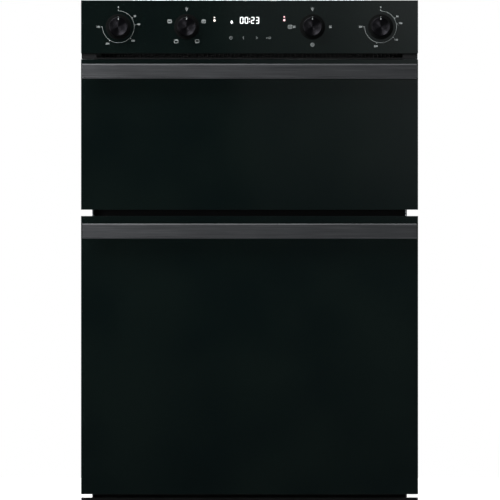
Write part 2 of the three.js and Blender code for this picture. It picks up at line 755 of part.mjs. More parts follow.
function addShelves() {
  const coverFront = lower.rear - fanCover.depth;
  const upperHalf = halfCavity - ledge.reach / 2;
  const lowerHalf = uprightX - runner.wire - runner.gap;
  add("upper_shelf", shelf(upperHalf, upper.rear - ledge.rearInset, upperShelfZ), finishes.chrome);
  add("lower_shelf", shelf(lowerHalf, coverFront - fanCover.rearGap, lowerShelfZ), finishes.chrome);
}

// Chromed side racks of the lower oven: pairs of runner wires on three uprights.
function addSideRacks() {
  const ys = [cavityFront + runner.frontInset, lower.rear - fanCover.depth - fanCover.rearGap];
  const half = halfRunnerSlot + runner.wire;
  const heights = row(rack.levels, rackPitch, 2 * half, (levelZ(0) + levelZ(rack.levels - 1)) / 2).flat();
  const [low, high] = [heights[0] - runner.overrun, heights.at(-1) + runner.overrun];
  const uprightYs = [ys[0] + runner.endInset, (ys[0] + ys[1]) / 2, ys[1] - runner.endInset];
  for (const [name, side] of sides) {
    const x = side * uprightX;
    const uprights = uprightYs.map((y) => rod([x, y, low], [x, y, high], runner.wire, 6));
    const runners = heights.map((z) => rodY([side * runnerX, z], ys, runner.wire, 6));
    add(`lower_side_rack_${name}`, join([...uprights, ...runners]), finishes.chrome);
  }
}

// ---------------------------------------------------------------- doors

// A rectangular sheet wall that stands along Y round a window.
function wallRing(half, zs, ys) {
  const inside = block(centred(half - doorBody.sheet), grown(ys, overcut), grown(zs, -doorBody.sheet));
  return block(centred(half), ys, zs).subtract(inside);
}

// Folded sheet frame, open towards the outer pane. Its stepped rear carries the inner pane, and each stile
// has a pocket, open at the bottom, for the hinge.
function doorFrame({ bottom, top, mouth, axisZ }) {
  const { sheet, rear, linerRear, linerMargin, seatMargin, viewInset } = doorBody;
  const ys = [bodyFront, rear];
  const zs = grown([bottom, top], -doorBody.endInset);
  const halfLiner = halfCavity + linerMargin;
  const linerZs = grown(mouth, linerMargin);
  const seat = seatMargin + sheet;
  const shell = [
    block(centred(halfBody), [rear - sheet, rear], zs),
    block(centred(halfLiner), [linerRear - sheet, linerRear], linerZs),
    wallRing(halfBody, zs, ys),
    wallRing(halfCavity + seat, grown(mouth, seat), ys),
    wallRing(halfLiner, linerZs, [rear - sheet, linerRear]),
  ];
  const pocketTop = axisZ + hinge.armReach + hinge.pocketRoom;
  const casings = sides.map(([, side]) =>
    block(onSide(side, pocketNear - sheet, pocketFar + sheet), ys, [zs[0], pocketTop + sheet]),
  );
  const pockets = sides.map(([, side]) =>
    block(onSide(side, pocketNear, pocketFar), grown(ys, overcut), [bottom, pocketTop]),
  );
  const viewYs = grown([bodyFront, linerRear], overcut);
  const view = block(centred(halfCavity - viewInset), viewYs, grown(mouth, -viewInset));
  return cut(join([...shell, ...casings]), [view, ...pockets]);
}

const outerPane = ({ bottom, top }) => block(centred(halfFront), [front.face, paneRear], [bottom, top]);

function innerPane({ mouth }) {
  const margin = doorBody.linerMargin - doorBody.paneEdge;
  return block(centred(halfCavity + margin), [innerPaneFront, innerPaneRear], grown(mouth, margin));
}

function middlePane({ mouth }) {
  const margin = doorBody.seatMargin - doorBody.paneEdge;
  const rear = doorBody.rear - doorBody.sheet - fit;
  return block(centred(halfCavity + margin), [rear - doorBody.middlePane, rear], grown(mouth, margin));
}

// Flat bar across the door, its front edges chamfered, on two posts.
function barHandle({ handleTop }) {
  const zs = [handleTop - handle.height, handleTop];
  const half = halfFront - handle.inset;
  const section = new THREE.Shape([
    new THREE.Vector2(barRear, zs[0]),
    new THREE.Vector2(barRear, zs[1]),
    new THREE.Vector2(barFront + handle.chamfer, zs[1]),
    new THREE.Vector2(barFront, zs[1] - handle.chamfer),
    new THREE.Vector2(barFront, zs[0] + handle.chamfer),
    new THREE.Vector2(barFront + handle.chamfer, zs[0]),
  ]);
  const postFar = half - handle.postInset;
  const postYs = [barRear - overcut, front.face - fit];
  const posts = sides.map(([, side]) =>
    block(onSide(side, postFar - handle.postWidth, postFar), postYs, grown(zs, -handle.postTrim)),
  );
  return join([extrudeX(section, centred(half)), ...posts]);
}

// Arm that turns with the door: up inside the stile, with a bore round the hinge pin.
function hingeArm({ axisZ }, side) {
  const xs = onSide(side, armNear, armFar);
  const bar = block(xs, about(axisY, 2 * hinge.boss), [axisZ, axisZ + hinge.armReach]);
  const boss = rodX([axisY, axisZ], xs, hinge.boss, 16);
  const bore = rodX([axisY, axisZ], grown(xs, overcut), hinge.pin + hinge.pinClearance, 16);
  return cut(bar.add(boss), [bore]);
}

// Fixed part: a channel behind the front frame, with a cheek that reaches forward to the pin.
function hingeBody({ axisZ }, side) {
  const cheekSpan = onSide(side, cheekNear, cheekFar);
  const zs = about(axisZ, hinge.bodyHeight);
  const root = cavityFront + hinge.cheekRoot;
  const wall = chassis.frameSheet;
  const channel = block(onSide(side, channelNear, channelFar), [cavityFront, hinge.bodyRear], zs);
  const hollow = block(
    onSide(side, channelNear + wall, channelFar - wall),
    [root, hinge.bodyRear + overcut],
    [zs[0] + wall, zs[1] + overcut],
  );
  const cheek = block(cheekSpan, [axisY, root], about(axisZ, 2 * hinge.boss));
  const nose = rodX([axisY, axisZ], cheekSpan, hinge.boss, 16);
  const pin = rodX([axisY, axisZ], onSide(side, cheekNear + hinge.cheek / 2, armFar - fit), hinge.pin, 16);
  return join([cut(channel, [hollow]), cheek, nose, pin]);
}

function addDoors() {
  for (const oneOven of ovens) {
    const { place } = oneOven;
    add(`${place}_door_outer_glass`, outerPane(oneOven), finishes.blackGlass);
    add(`${place}_door_frame`, doorFrame(oneOven), finishes.blackEnamel);
    add(`${place}_door_inner_glass`, innerPane(oneOven), finishes.clearGlass);
    add(`${place}_door_handle`, barHandle(oneOven), finishes.darkAluminium);
    add(`${place}_door_seal`, seal(oneOven), finishes.rubber);
    for (const [name, side] of sides) {
      add(`${place}_hinge_arm_${name}`, hingeArm(oneOven, side), finishes.steel);
      add(`${place}_hinge_${name}`, hingeBody(oneOven, side), finishes.galvanised);
    }
  }
  add("lower_door_middle_glass", middlePane(lower), finishes.clearGlass);
}

// ---------------------------------------------------------------- controls

const knobZ = panelBottom + front.panelHeight / 2;
const outerX = halfFront - knob.endInset;
const innerX = outerX - knob.pitch;
const knobs = [
  ["upper_temperature", -outerX],
  ["upper_function", -innerX],
  ["lower_function", innerX],
  ["lower_temperature", outerX],
];
const traySpan = [bodyFront, bodyFront + chassis.frameSheet];
const switchFront = traySpan[1] + fit;
const displayZ = knobZ + timer.displayRise;

function stemHoles(ys) {
  return knobs.map(([, x]) => rodY([x, knobZ], grown(ys, overcut), knob.stem + knob.stemClearance));
}

function addControlPanel() {
  const ys = [front.face, paneRear];
  const pane = block(centred(halfFront), ys, [panelBottom, front.height]);
  add("control_panel", cut(pane, stemHoles(ys)), finishes.blackGlass);
}

// Tray behind the control panel, held by an arm inside each side panel. Its front reaches below the panel,
// where the cooling air leaves by a slot, over a floor that runs back to the front frame.
function addPanelSupport() {
  const sheet = chassis.frameSheet;
  const half = halfFront - tray.edgeInset;
  const zs = [upper.top + tray.doorGap, front.height - tray.topDrop];
  const rear = -sheet - fit;
  const through = grown(traySpan, overcut);
  const shell = block(centred(half), [bodyFront, rear], zs);
  const hollow = block(centred(half - sheet), [traySpan[1], rear + overcut], grown(zs, -sheet));
  const slotZs = [zs[0] + tray.slotEdge, panelBottom - tray.slotEdge / 2];
  const slot = block(centred(halfFront - tray.slotInset), through, slotZs);
  const displaySpans = [timer.displayWidth, timer.displayHeight].map((size) => size + 2 * timer.gap);
  const display = block(about(0, displaySpans[0]), through, about(displayZ, displaySpans[1]));
  const floor = block(centred(halfFrame), [bodyFront, frameFront - fit], [zs[0], zs[0] + sheet]);
  const armTop = chassisTop - chassis.sheet - fit;
  const armZs = [armTop - tray.armHeight, armTop];
  const arms = sides.map(([, side]) =>
    block(onSide(side, halfInside - sheet, halfInside), [bodyFront, tray.armReach], armZs),
  );
  const body = cut(shell, [hollow, slot, display, ...stemHoles(traySpan)]);
  add("panel_support", join([body, floor, ...arms]), finishes.blackPlastic);
}

// Knobs stand in front of their rings; each stem passes the panel and ends in the bore of its switch.
function addKnobs() {
  const { foot, shoulder, face, footHeight, faceEdge } = knob;
  const ringRear = front.face - fit;
  const ringFront = ringRear - knobRing.thickness;
  const dish = ringRear - knobRing.thickness / 2;
  const rear = ringFront - fit;
  const top = rear - knob.length;
  const bore = knob.stem + shaftClearance;
  const ringProfile = [
    [bore, ringRear],
    [bore, dish],
    [knobRing.inner, dish],
    [knobRing.inner, ringFront],
    [knobRing.outer - knobRing.edge, ringFront],
    [knobRing.outer, ringRear],
    [bore, ringRear],
  ];
  const capProfile = [
    [0, top],
    [face, top],
    [shoulder, top + faceEdge],
    [foot - knobRing.edge / 2, rear - footHeight],
    [foot, rear],
    [0, rear],
  ];
  for (const [name, x] of knobs) {
    const stem = rodY([x, knobZ], [rear - footHeight, rear + knob.stemLength], knob.stem);
    const socket = rodY([x, knobZ], [switchFront - overcut, rear + knob.stemLength + overcut], bore);
    const spans = [x, knobZ].map((middle) => about(middle, switchBody.size));
    const outline = roundedRectangle(...spans, switchBody.radius);
    const body = extrudeY(outline, [switchFront, switchFront + switchBody.depth], 2);
    add(`knob_ring_${name}`, turned([x, knobZ], ringProfile), finishes.blackPlastic);
    add(`knob_${name}`, turned([x, knobZ], capProfile).add(stem), finishes.blackPlastic);
    add(`switch_${name}`, cut(body, [socket]), finishes.whitePlastic);
  }
}

// Timer board in its housing; the display block reaches through the tray to the back of the glass.
function addTimer() {
  const housingYs = [switchFront, switchFront + timer.depth];
  const housing = block(about(0, timer.width), housingYs, about(knobZ, timer.height));
  const displayYs = [bodyFront, switchFront + overcut];
  const display = block(about(0, timer.displayWidth), displayYs, about(displayZ, timer.displayHeight));
  add("timer_module", housing.add(display), finishes.blackPlastic);
}

// ---------------------------------------------------------------- assembly

addControlPanel();
addPanelSupport();
addKnobs();
addTimer();
addDoors();
addFrontFrame();
addMountingFlanges();
addSidePanels();
addBackPanel();
addTopCover();
addBasePanel();
addTerminalCover();
addCavities();
addInsulation();
addLamps();
addGrillElement();
addRingElement();
addConvectionFan();
addFanMotor();
addFanCover();
addCoolingFanHousing();
addCoolingFan();
addShelves();
addSideRacks();

// From the housing's front face to the middle of the oven's depth.
oven.position.y = -(barFront + chassis.depth) / 2;

export default oven;
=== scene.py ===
import json
import math
import bmesh
import bpy
from mathutils import Matrix, Vector


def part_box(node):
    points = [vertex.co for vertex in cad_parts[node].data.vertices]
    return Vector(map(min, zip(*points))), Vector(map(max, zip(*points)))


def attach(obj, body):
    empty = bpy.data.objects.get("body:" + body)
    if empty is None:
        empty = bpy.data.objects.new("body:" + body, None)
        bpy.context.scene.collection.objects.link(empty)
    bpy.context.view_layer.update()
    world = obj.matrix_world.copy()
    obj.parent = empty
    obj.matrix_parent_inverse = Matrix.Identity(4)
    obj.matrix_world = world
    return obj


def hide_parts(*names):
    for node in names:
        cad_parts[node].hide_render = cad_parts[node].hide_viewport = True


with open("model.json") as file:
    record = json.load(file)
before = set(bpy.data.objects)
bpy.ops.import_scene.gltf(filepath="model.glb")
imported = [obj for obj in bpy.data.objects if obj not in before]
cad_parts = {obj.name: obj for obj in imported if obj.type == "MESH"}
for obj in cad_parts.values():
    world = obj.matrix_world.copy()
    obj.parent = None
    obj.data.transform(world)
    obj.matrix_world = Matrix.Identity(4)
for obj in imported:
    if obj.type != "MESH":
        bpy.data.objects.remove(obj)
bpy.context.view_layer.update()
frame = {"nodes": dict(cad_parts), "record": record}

# Built-in double wall oven: black glass doors and control panel on a galvanised chassis.
# Metres throughout; sizes written in millimetres are multiplied by mm.
mm = 0.001
nodes = frame["nodes"]
nodeBody = {node: body for body, members in frame["record"]["behaviour"]["bodies"].items() for node in members}
panelLow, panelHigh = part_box("control_panel")
print("frame loaded:", len(nodes), "parts")


# Small helpers: a colour, a node, an object.
def toLinear(hexColour):
    channels = [int(hexColour[i:i + 2], 16) / 255 for i in (0, 2, 4)]
    return [c / 12.92 if c <= 0.04045 else ((c + 0.055) / 1.055) ** 2.4 for c in channels] + [1.0]


def addNode(tree, kind, settings=None, links=None):
    node = tree.nodes.new(kind)
    for key, value in (settings or {}).items():
        if key == "stops":  # colour ramp: (position, hex colour or grey value)
            ramp = node.color_ramp
            while len(ramp.elements) < len(value):
                ramp.elements.new(1.0)
            for element, (position, colour) in zip(ramp.elements, value):
                element.position = position
                element.color = toLinear(colour) if isinstance(colour, str) else [colour] * 3 + [1.0]
        elif isinstance(key, int) or key in node.inputs:
            node.inputs[key].default_value = value
        else:
            setattr(node, key, value)
    for key, socket in (links or {}).items():
        tree.links.new(socket, node.inputs[key])
    return node


def startMaterial(name, sockets):
    material = bpy.data.materials.new(name)
    material.use_nodes = True
    tree = material.node_tree
    shader = tree.nodes["Principled BSDF"]
    for socket, value in sockets.items():
        shader.inputs[socket].default_value = toLinear(value) if isinstance(value, str) else value
    place = addNode(tree, "ShaderNodeTexCoord").outputs["Object"]
    return material, tree, shader, place


# Adds a colour ramp, a roughness range and a bump, each followed by its source, and joins them to the shader.
def dress(tree, shader, tint=None, haze=None, dent=None):
    if tint:
        stops, source = tint
        ramp = addNode(tree, "ShaderNodeValToRGB", {"stops": stops}, {"Fac": source})
        tree.links.new(ramp.outputs["Color"], shader.inputs["Base Color"])
    if haze:
        low, high, source = haze
        span = addNode(tree, "ShaderNodeMapRange", {"To Min": low, "To Max": high}, {"Value": source})
        tree.links.new(span.outputs["Result"], shader.inputs["Roughness"])
    if dent:
        strength, depth, source = dent
        bump = addNode(tree, "ShaderNodeBump", {"Strength": strength, "Distance": depth}, {"Height": source})
        tree.links.new(bump.outputs["Normal"], shader.inputs["Normal"])


def newObject(name, mesh, material=None):
    piece = bpy.data.objects.new(name, mesh)
    bpy.context.scene.collection.objects.link(piece)
    if material:
        mesh.materials.append(material)
    return piece


def fromBmesh(name, bm, material=None):
    mesh = bpy.data.meshes.new(name)
    bm.to_mesh(mesh)
    bm.free()
    return newObject(name, mesh, material)


# Toughened soda-lime glass with black ceramic colour fired on its back: deep black with a faint green cast,
# mirror-like, and very slightly wavy from the rollers of the toughening furnace.
def makeBlackGlass():
    material, tree, shader, place = startMaterial("toughenedGlassBlack", {"IOR": 1.52, "Metallic": 0.0})
    film = addNode(tree, "ShaderNodeTexNoise", {"Scale": 7.0, "Detail": 4.0}, {"Vector": place})
    wave = addNode(tree, "ShaderNodeTexNoise", {"Scale": 4.0, "Detail": 0.0}, {"Vector": place})  # 250 mm
    dress(tree, shader, tint=([(0.35, "020505"), (0.65, "040807")], film.outputs["Fac"]),
          haze=(0.03, 0.055, film.outputs["Fac"]), dent=(1.0, 0.00001, wave.outputs["Fac"]))
    return material


# Clear toughened glass with a heat-reflecting coat: see-through, a little grey-green, dusty in patches.
def makeClearGlass():
    material, tree, shader, place = startMaterial("toughenedGlassClear", {
        "IOR": 1.52, "Transmission Weight": 1.0, "Base Color": "dfe8e4"})
    film = addNode(tree, "ShaderNodeTexNoise", {"Scale": 12.0, "Detail": 5.0}, {"Vector": place})
    dress(tree, shader, tint=([(0.3, "d6e0dc"), (0.7, "e4ece8")], film.outputs["Fac"]),
          haze=(0.0, 0.06, film.outputs["Fac"]))
    return material


# Borosilicate lamp glass, pressed with ribs that scatter the bulb's light.
def makeLampGlass():
    material, tree, shader, place = startMaterial("borosilicateGlassRibbed", {
        "IOR": 1.47, "Transmission Weight": 0.85, "Base Color": "f2ecdc", "Roughness": 0.08})
    ribs = addNode(tree, "ShaderNodeTexWave", {"Scale": 80.0, "Distortion": 0.6, "bands_direction": "Z"},
                   {"Vector": place})  # 4 mm ribs
    dress(tree, shader, tint=([(0.0, "e8e0cc"), (1.0, "f6f2e6")], ribs.outputs["Fac"]),
          dent=(0.6, 0.0008, ribs.outputs["Fac"]))
    return material


# Extruded aluminium, brushed along its length and anodised dark grey: fine streaks along X, soft stretched
# highlights. Real strokes are about 0.1 mm wide; these are 1.5 mm so that they show.
def makeBrushedAluminium(name, dark, middle, light):
    material, tree, shader, place = startMaterial(name, {
        "Metallic": 1.0, "Roughness": 0.4, "Anisotropic": 0.75, "Anisotropic Rotation": 0.25})
    stretch = addNode(tree, "ShaderNodeMapping", {"Scale": (9.0, 650.0, 650.0)}, {"Vector": place})
    strokes = addNode(tree, "ShaderNodeTexNoise", {"Scale": 1.0, "Detail": 4.0, "Roughness": 0.7},
                      {"Vector": stretch.outputs["Vector"]})
    broad = addNode(tree, "ShaderNodeTexNoise", {"Scale": 5.0, "Detail": 2.0}, {"Vector": place})
    shades = addNode(tree, "ShaderNodeMix", {"data_type": "FLOAT", "Factor": 0.3},
                     {2: strokes.outputs["Fac"], 3: broad.outputs["Fac"]})
    along = addNode(tree, "ShaderNodeTangent", {"direction_type": "UV_MAP", "uv_map": "grain"})
    dress(tree, shader, tint=([(0.3, dark), (0.5, middle), (0.7, light)], shades.outputs[0]),
          haze=(0.34, 0.48, strokes.outputs["Fac"]), dent=(0.25, 0.0001, strokes.outputs["Fac"]))
    tree.links.new(along.outputs["Tangent"], shader.inputs["Tangent"])
    return material


# Aluminium turned on a lathe and anodised nearly black: rings about the knob's middle, so light gathers into
# narrow lobes from the middle to the edge. Real rings are 0.05 mm apart; these are 0.6 mm.
def makeSpunAluminium():
    material, tree, shader, place = startMaterial("anodisedAluminiumSpun", {
        "Metallic": 1.0, "Anisotropic": 0.92, "Anisotropic Rotation": 0.25})
    rings = addNode(tree, "ShaderNodeUVMap", {"uv_map": "grain"})  # u round the knob, v = radius in metres
    stretch = addNode(tree, "ShaderNodeMapping", {"Scale": (3.0, 1600.0, 1.0)}, {"Vector": rings.outputs["UV"]})
    strokes = addNode(tree, "ShaderNodeTexNoise", {"Scale": 1.0, "Detail": 3.0}, {"Vector": stretch.outputs["Vector"]})
    around = addNode(tree, "ShaderNodeTangent", {"direction_type": "UV_MAP", "uv_map": "grain"})
    dress(tree, shader, tint=([(0.3, "151517"), (0.7, "222124")], strokes.outputs["Fac"]),
          haze=(0.32, 0.42, strokes.outputs["Fac"]), dent=(0.12, 0.0001, strokes.outputs["Fac"]))
    tree.links.new(around.outputs["Tangent"], shader.inputs["Tangent"])
    return material


# Sprayed or moulded surfaces that differ only in colour, gloss and the size of their grain.
def makeGrained(name, dark, light, grain, depth, roughness, more=None):
    material, tree, shader, place = startMaterial(name, more or {})
    texture = addNode(tree, "ShaderNodeTexNoise", {"Scale": 1 / grain, "Detail": 5.0}, {"Vector": place})
    cloud = addNode(tree, "ShaderNodeTexNoise", {"Scale": 9.0, "Detail": 3.0}, {"Vector": place})
    dress(tree, shader, tint=([(0.3, dark), (0.7, light)], cloud.outputs["Fac"]),
          haze=(roughness[0], roughness[1], cloud.outputs["Fac"]), dent=(0.5, depth, texture.outputs["Fac"]))
    return material


# Vitreous enamel fired on sheet steel: dark blue-grey glaze with pale flecks of 1 to 2 mm and an orange-peel skin.
def makeVitreousEnamel():
    material, tree, shader, place = startMaterial("vitreousEnamelSpeckled", {"IOR": 1.5, "Coat Weight": 0.4,
                                                                           "Coat Roughness": 0.08})
    flecks = addNode(tree, "ShaderNodeTexVoronoi", {"Scale": 260.0, "Randomness": 1.0}, {"Vector": place})
    spots = addNode(tree, "ShaderNodeValToRGB", {"stops": [(0.12, 1.0), (0.2, 0.0)]},
                    {"Fac": flecks.outputs["Distance"]})
    rare = addNode(tree, "ShaderNodeValToRGB", {"stops": [(0.6, 0.0), (0.66, 1.0)]}, {"Fac": flecks.outputs["Color"]})
    share = addNode(tree, "ShaderNodeMath", {"operation": "MULTIPLY"}, {0: spots.outputs["Color"],
                                                                       1: rare.outputs["Color"]})
    glaze = addNode(tree, "ShaderNodeTexNoise", {"Scale": 30.0, "Detail": 5.0}, {"Vector": place})
    ground = addNode(tree, "ShaderNodeValToRGB", {"stops": [(0.3, "23262b"), (0.7, "31353b")]},
                     {"Fac": glaze.outputs["Fac"]})
    tint = addNode(tree, "ShaderNodeMix", {"data_type": "RGBA", 7: toLinear("9aa3ad")},
                   {0: share.outputs[0], 6: ground.outputs["Color"]})
    dress(tree, shader, haze=(0.16, 0.3, glaze.outputs["Fac"]), dent=(0.3, 0.0004, glaze.outputs["Fac"]))
    tree.links.new(tint.outputs[2], shader.inputs["Base Color"])
    return material


# Hot-dip galvanised sheet: zinc crystals of 6 to 12 mm, each with its own grey and gloss.
def makeGalvanised():
    material, tree, shader, place = startMaterial("galvanisedSteel", {"Metallic": 1.0})
    bend = addNode(tree, "ShaderNodeTexNoise", {"Scale": 60.0, "Detail": 2.0}, {"Vector": place})
    warped = addNode(tree, "ShaderNodeMix", {"data_type": "VECTOR", "Factor": 0.012},
                     {4: place, 5: bend.outputs["Color"]})
    crystals = addNode(tree, "ShaderNodeTexVoronoi", {"Scale": 110.0}, {"Vector": warped.outputs[1]})
    grey = addNode(tree, "ShaderNodeRGBToBW", None, {"Color": crystals.outputs["Color"]})
    stains = addNode(tree, "ShaderNodeTexNoise", {"Scale": 5.0, "Detail": 6.0}, {"Vector": place})
    mixed = addNode(tree, "ShaderNodeMix", {"data_type": "FLOAT", "Factor": 0.4},
                    {2: grey.outputs["Val"], 3: stains.outputs["Fac"]})
    dress(tree, shader, tint=([(0.2, "979b9f"), (0.5, "a5a9ac"), (0.8, "b2b6b9")], mixed.outputs[0]),
          haze=(0.4, 0.48, grey.outputs["Val"]), dent=(0.04, 0.0003, grey.outputs["Val"]))
    return material


# Drawn or rolled metal: faint streaks from the rolls and a cloudy tone.
def makeRolledMetal(name, dark, light, roughness, streaks=(4.0, 4.0, 300.0)):
    material, tree, shader, place = startMaterial(name, {"Metallic": 1.0})
    stretch = addNode(tree, "ShaderNodeMapping", {"Scale": streaks}, {"Vector": place})
    lines = addNode(tree, "ShaderNodeTexNoise", {"Scale": 1.0, "Detail": 3.0}, {"Vector": stretch.outputs["Vector"]})
    cloud = addNode(tree, "ShaderNodeTexNoise", {"Scale": 25.0, "Detail": 4.0}, {"Vector": place})
    mixed = addNode(tree, "ShaderNodeMix", {"data_type": "FLOAT", "Factor": 0.5},
                    {2: lines.outputs["Fac"], 3: cloud.outputs["Fac"]})
    dress(tree, shader, tint=([(0.3, dark), (0.7, light)], mixed.outputs[0]),
          haze=(roughness[0], roughness[1], mixed.outputs[0]), dent=(0.15, 0.0002, lines.outputs["Fac"]))
    return material


# Lit segments and lamps behind the glass: an even glow with a little unevenness of the diffuser.
def makeGlow(name, colour, edge, strength):
    material, tree, shader, place = startMaterial(name, {"Roughness": 0.4, "Emission Strength": strength})
    cloud = addNode(tree, "ShaderNodeTexNoise", {"Scale": 400.0, "Detail": 1.0}, {"Vector": place})
    tint = addNode(tree, "ShaderNodeValToRGB", {"stops": [(0.25, edge), (0.6, colour)]}, {"Fac": cloud.outputs["Fac"]})
    tree.links.new(tint.outputs["Color"], shader.inputs["Base Color"])
    tree.links.new(tint.outputs["Color"], shader.inputs["Emission Color"])
    return material


finishes = {
    "blackGlass": makeBlackGlass(),
    "clearGlass": makeClearGlass(),
    "lampGlass": makeLampGlass(),
    "brushedAluminium": makeBrushedAluminium("anodisedAluminiumBrushed", "3e3f41", "4d4e50", "5e5f61"),
    # the bar's chamfers, milled after brushing: brighter and a little smoother; their lighter colour is in part a
    # painted highlight along the bar's chamfers
    "milledAluminiumPaintedHighlight": makeBrushedAluminium("anodisedAluminiumMilledPaintedHighlight", "656668", "757678", "858688"),
    "spunAluminium": makeSpunAluminium(),
    # anodised aluminium, satin black: the knob's side, dull enough to lose itself in front of the glass
    "satinKnob": makeGrained("anodisedAluminiumSatinBlack", "040505", "070808", 0.0006, 0.00002, (0.6, 0.7),
                             {"Specular IOR Level": 0.04}),
    # glass-filled polyamide, spark-eroded mould: fine even grain
    "blackPlastic": makeGrained("polyamideMouldedBlack", "121313", "1a1b1b", 0.0008, 0.0001, (0.45, 0.6)),
    # thermoset polyester of the switches: off-white, slightly chalky
    "palePlastic": makeGrained("polyesterMouldedWhite", "bdb9ad", "cfccc2", 0.001, 0.0001, (0.5, 0.65)),
    # black powder coat on steel: semi-gloss with orange peel of about 2 mm
    "blackCoat": makeGrained("powderCoatBlack", "08090a", "0d0e0f", 0.002, 0.0001, (0.6, 0.75),
                             {"Specular IOR Level": 0.12}),
    # extruded silicone: matt and slightly dusty
    "rubber": makeGrained("siliconeRubberBlack", "141414", "1e1e1d", 0.0015, 0.0002, (0.6, 0.8)),
    # stone wool blanket: matted fibres in yellow-brown clouds
    "wool": makeGrained("stoneWool", "8d7f52", "b8aa78", 0.003, 0.002, (0.9, 1.0), {"Sheen Weight": 0.3}),
    # white ceramic ink screen-printed on the glass: thin and matt
    "ink": makeGrained("ceramicInkWhite", "7d8282", "8d9292", 0.0005, 0.00002, (0.5, 0.6)),
    # black ceramic frit printed on the inner panes: matt black with a slight grain
    "frit": makeGrained("ceramicFritBlack", "0a0b0b", "0f1010", 0.0007, 0.00002, (0.4, 0.55)),
    "enamel": makeVitreousEnamel(),
    "galvanised": makeGalvanised(),
    # zinc-plated steel: bright blue-grey
    "zinc": makeRolledMetal("zincPlatedSteel", "8d9194", "b4b8bb", (0.25, 0.4)),
    # stainless sheath after many heatings: brown-grey, dull
    "sheath": makeRolledMetal("stainlessSheathHeated", "3a3631", "57514a", (0.35, 0.5), (60.0, 60.0, 60.0)),
    # chromium plate on drawn wire: near-white mirror
    "chrome": makeRolledMetal("chromePlatedSteel", "c9cccf", "dfe1e3", (0.08, 0.16), (40.0, 40.0, 40.0)),
    "segments": makeGlow("displaySegmentsWhite", "f4f7f7", "dde4e4", 0.8),
    # the touch keys are printed in a grey ink, dimmer than the lit display
    "keyInk": makeGrained("ceramicInkGrey", "4c5151", "585d5d", 0.0005, 0.00002, (0.5, 0.6)),
    "redGlow": makeGlow("indicatorLampRed", "e9b9bd", "c9858c", 0.8),
    "warmGlow": makeGlow("indicatorLampWarm", "f0e6dc", "cfc4ba", 0.8),
}
print("finishes made:", len(finishes))


# CAD parts that keep their shape. Faces larger than this, in square metres, are flat sheet.
largestSmooth = 0.002


# A merged copy of a CAD part with softened edges and smooth round walls stands for the part.
def refine(node, finish, edge=0.0, steps=2, grain=False):
    bm = bmesh.new()
    bm.from_mesh(nodes[node].data)
    bmesh.ops.remove_doubles(bm, verts=bm.verts, dist=0.002 * mm)
    bmesh.ops.dissolve_limit(bm, angle_limit=math.radians(0.6), verts=bm.verts, edges=bm.edges)
    if grain:  # u along the grain, v across it; the sloping chamfers take the second finish
        layer = bm.loops.layers.uv.new("grain")
        bm.normal_update()
        for face in bm.faces:
            face.material_index = int(face.normal.y < -0.5 and abs(face.normal.z) > 0.5)
            for loop in face.loops:
                loop[layer].uv = (loop.vert.co.x, loop.vert.co.z - loop.vert.co.y)
    mesh = bpy.data.meshes.new(node + "_finished")
    bm.to_mesh(mesh)
    bm.free()
    for polygon in mesh.polygons:
        polygon.use_smooth = True
    mesh.set_sharp_from_angle(angle=math.radians(38))
    for polygon in mesh.polygons:  # only the small faces of round walls stay smooth; large faces are flat sheet
        polygon.use_smooth = polygon.area < largestSmooth
    piece = newObject(node + "_finished", mesh, finishes[finish])
    if edge:
        bevel = piece.modifiers.new("softEdges", "BEVEL")
        bevel.width = edge * mm
        bevel.segments = steps
        bevel.limit_method = "ANGLE"
        bevel.angle_limit = math.radians(40)
        bevel.harden_normals = node not in sheetParts  # folded sheet is flat right up to its edges
    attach(piece, nodeBody[node])
    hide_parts(node)
    return piece


# node: finish, edge radius in mm
glassParts = {
    "control_panel": ("blackGlass", 0.25),
    "upper_door_outer_glass": ("blackGlass", 0.25),
    "lower_door_outer_glass": ("blackGlass", 0.25),
    "upper_door_inner_glass": ("clearGlass", 0.4),
    "lower_door_inner_glass": ("clearGlass", 0.4),
    "lower_door_middle_glass": ("clearGlass", 0.3),
}
sheetParts = {
    "panel_support": ("blackCoat", 0.25),
    "front_frame": ("blackCoat", 0.3),
    "base_panel": ("blackCoat", 0.3),
    "upper_door_frame": ("blackCoat", 0.25),
    "lower_door_frame": ("blackCoat", 0.25),
    "mounting_flange_left": ("galvanised", 0.3),
    "mounting_flange_right": ("galvanised", 0.3),
    "side_panel_left": ("galvanised", 0.2),
    "side_panel_right": ("galvanised", 0.2),
    "back_panel": ("galvanised", 0.2),
    "top_cover": ("galvanised", 0.2),
    "cooling_fan_housing": ("galvanised", 0.3),
    "upper_cavity": ("enamel", 0.0),
    "lower_cavity": ("enamel", 0.0),
    "fan_cover": ("enamel", 0.3),
}
solidParts = {
    "terminal_cover": ("blackPlastic", 0.6),
    "timer_module": ("blackPlastic", 0.6),
    "upper_door_seal": ("rubber", 0.0),
    "lower_door_seal": ("rubber", 0.0),
    "upper_lamp": ("lampGlass", 0.0),
    "lower_lamp": ("lampGlass", 0.0),
    "grill_element": ("sheath", 0.0),
    "ring_element": ("sheath", 0.0),
    "convection_fan": ("zinc", 0.0),
    "cooling_fan": ("zinc", 0.0),
    "fan_motor": ("zinc", 0.0),
    "upper_shelf": ("chrome", 0.0),
    "lower_shelf": ("chrome", 0.0),
    "lower_side_rack_left": ("chrome", 0.0),
    "lower_side_rack_right": ("chrome", 0.0),
}
keptParts = {"upper_insulation": "wool", "lower_insulation": "wool"}
knobNames = ["upper_temperature", "upper_function", "lower_function", "lower_temperature"]
for knobName in knobNames:
    solidParts["switch_" + knobName] = ("palePlastic", 0.5)
for doorName in ("upper", "lower"):
    for sideName in ("left", "right"):
        solidParts[f"{doorName}_hinge_{sideName}"] = ("galvanised", 0.4)
        solidParts[f"{doorName}_hinge_arm_{sideName}"] = ("zinc", 0.3)

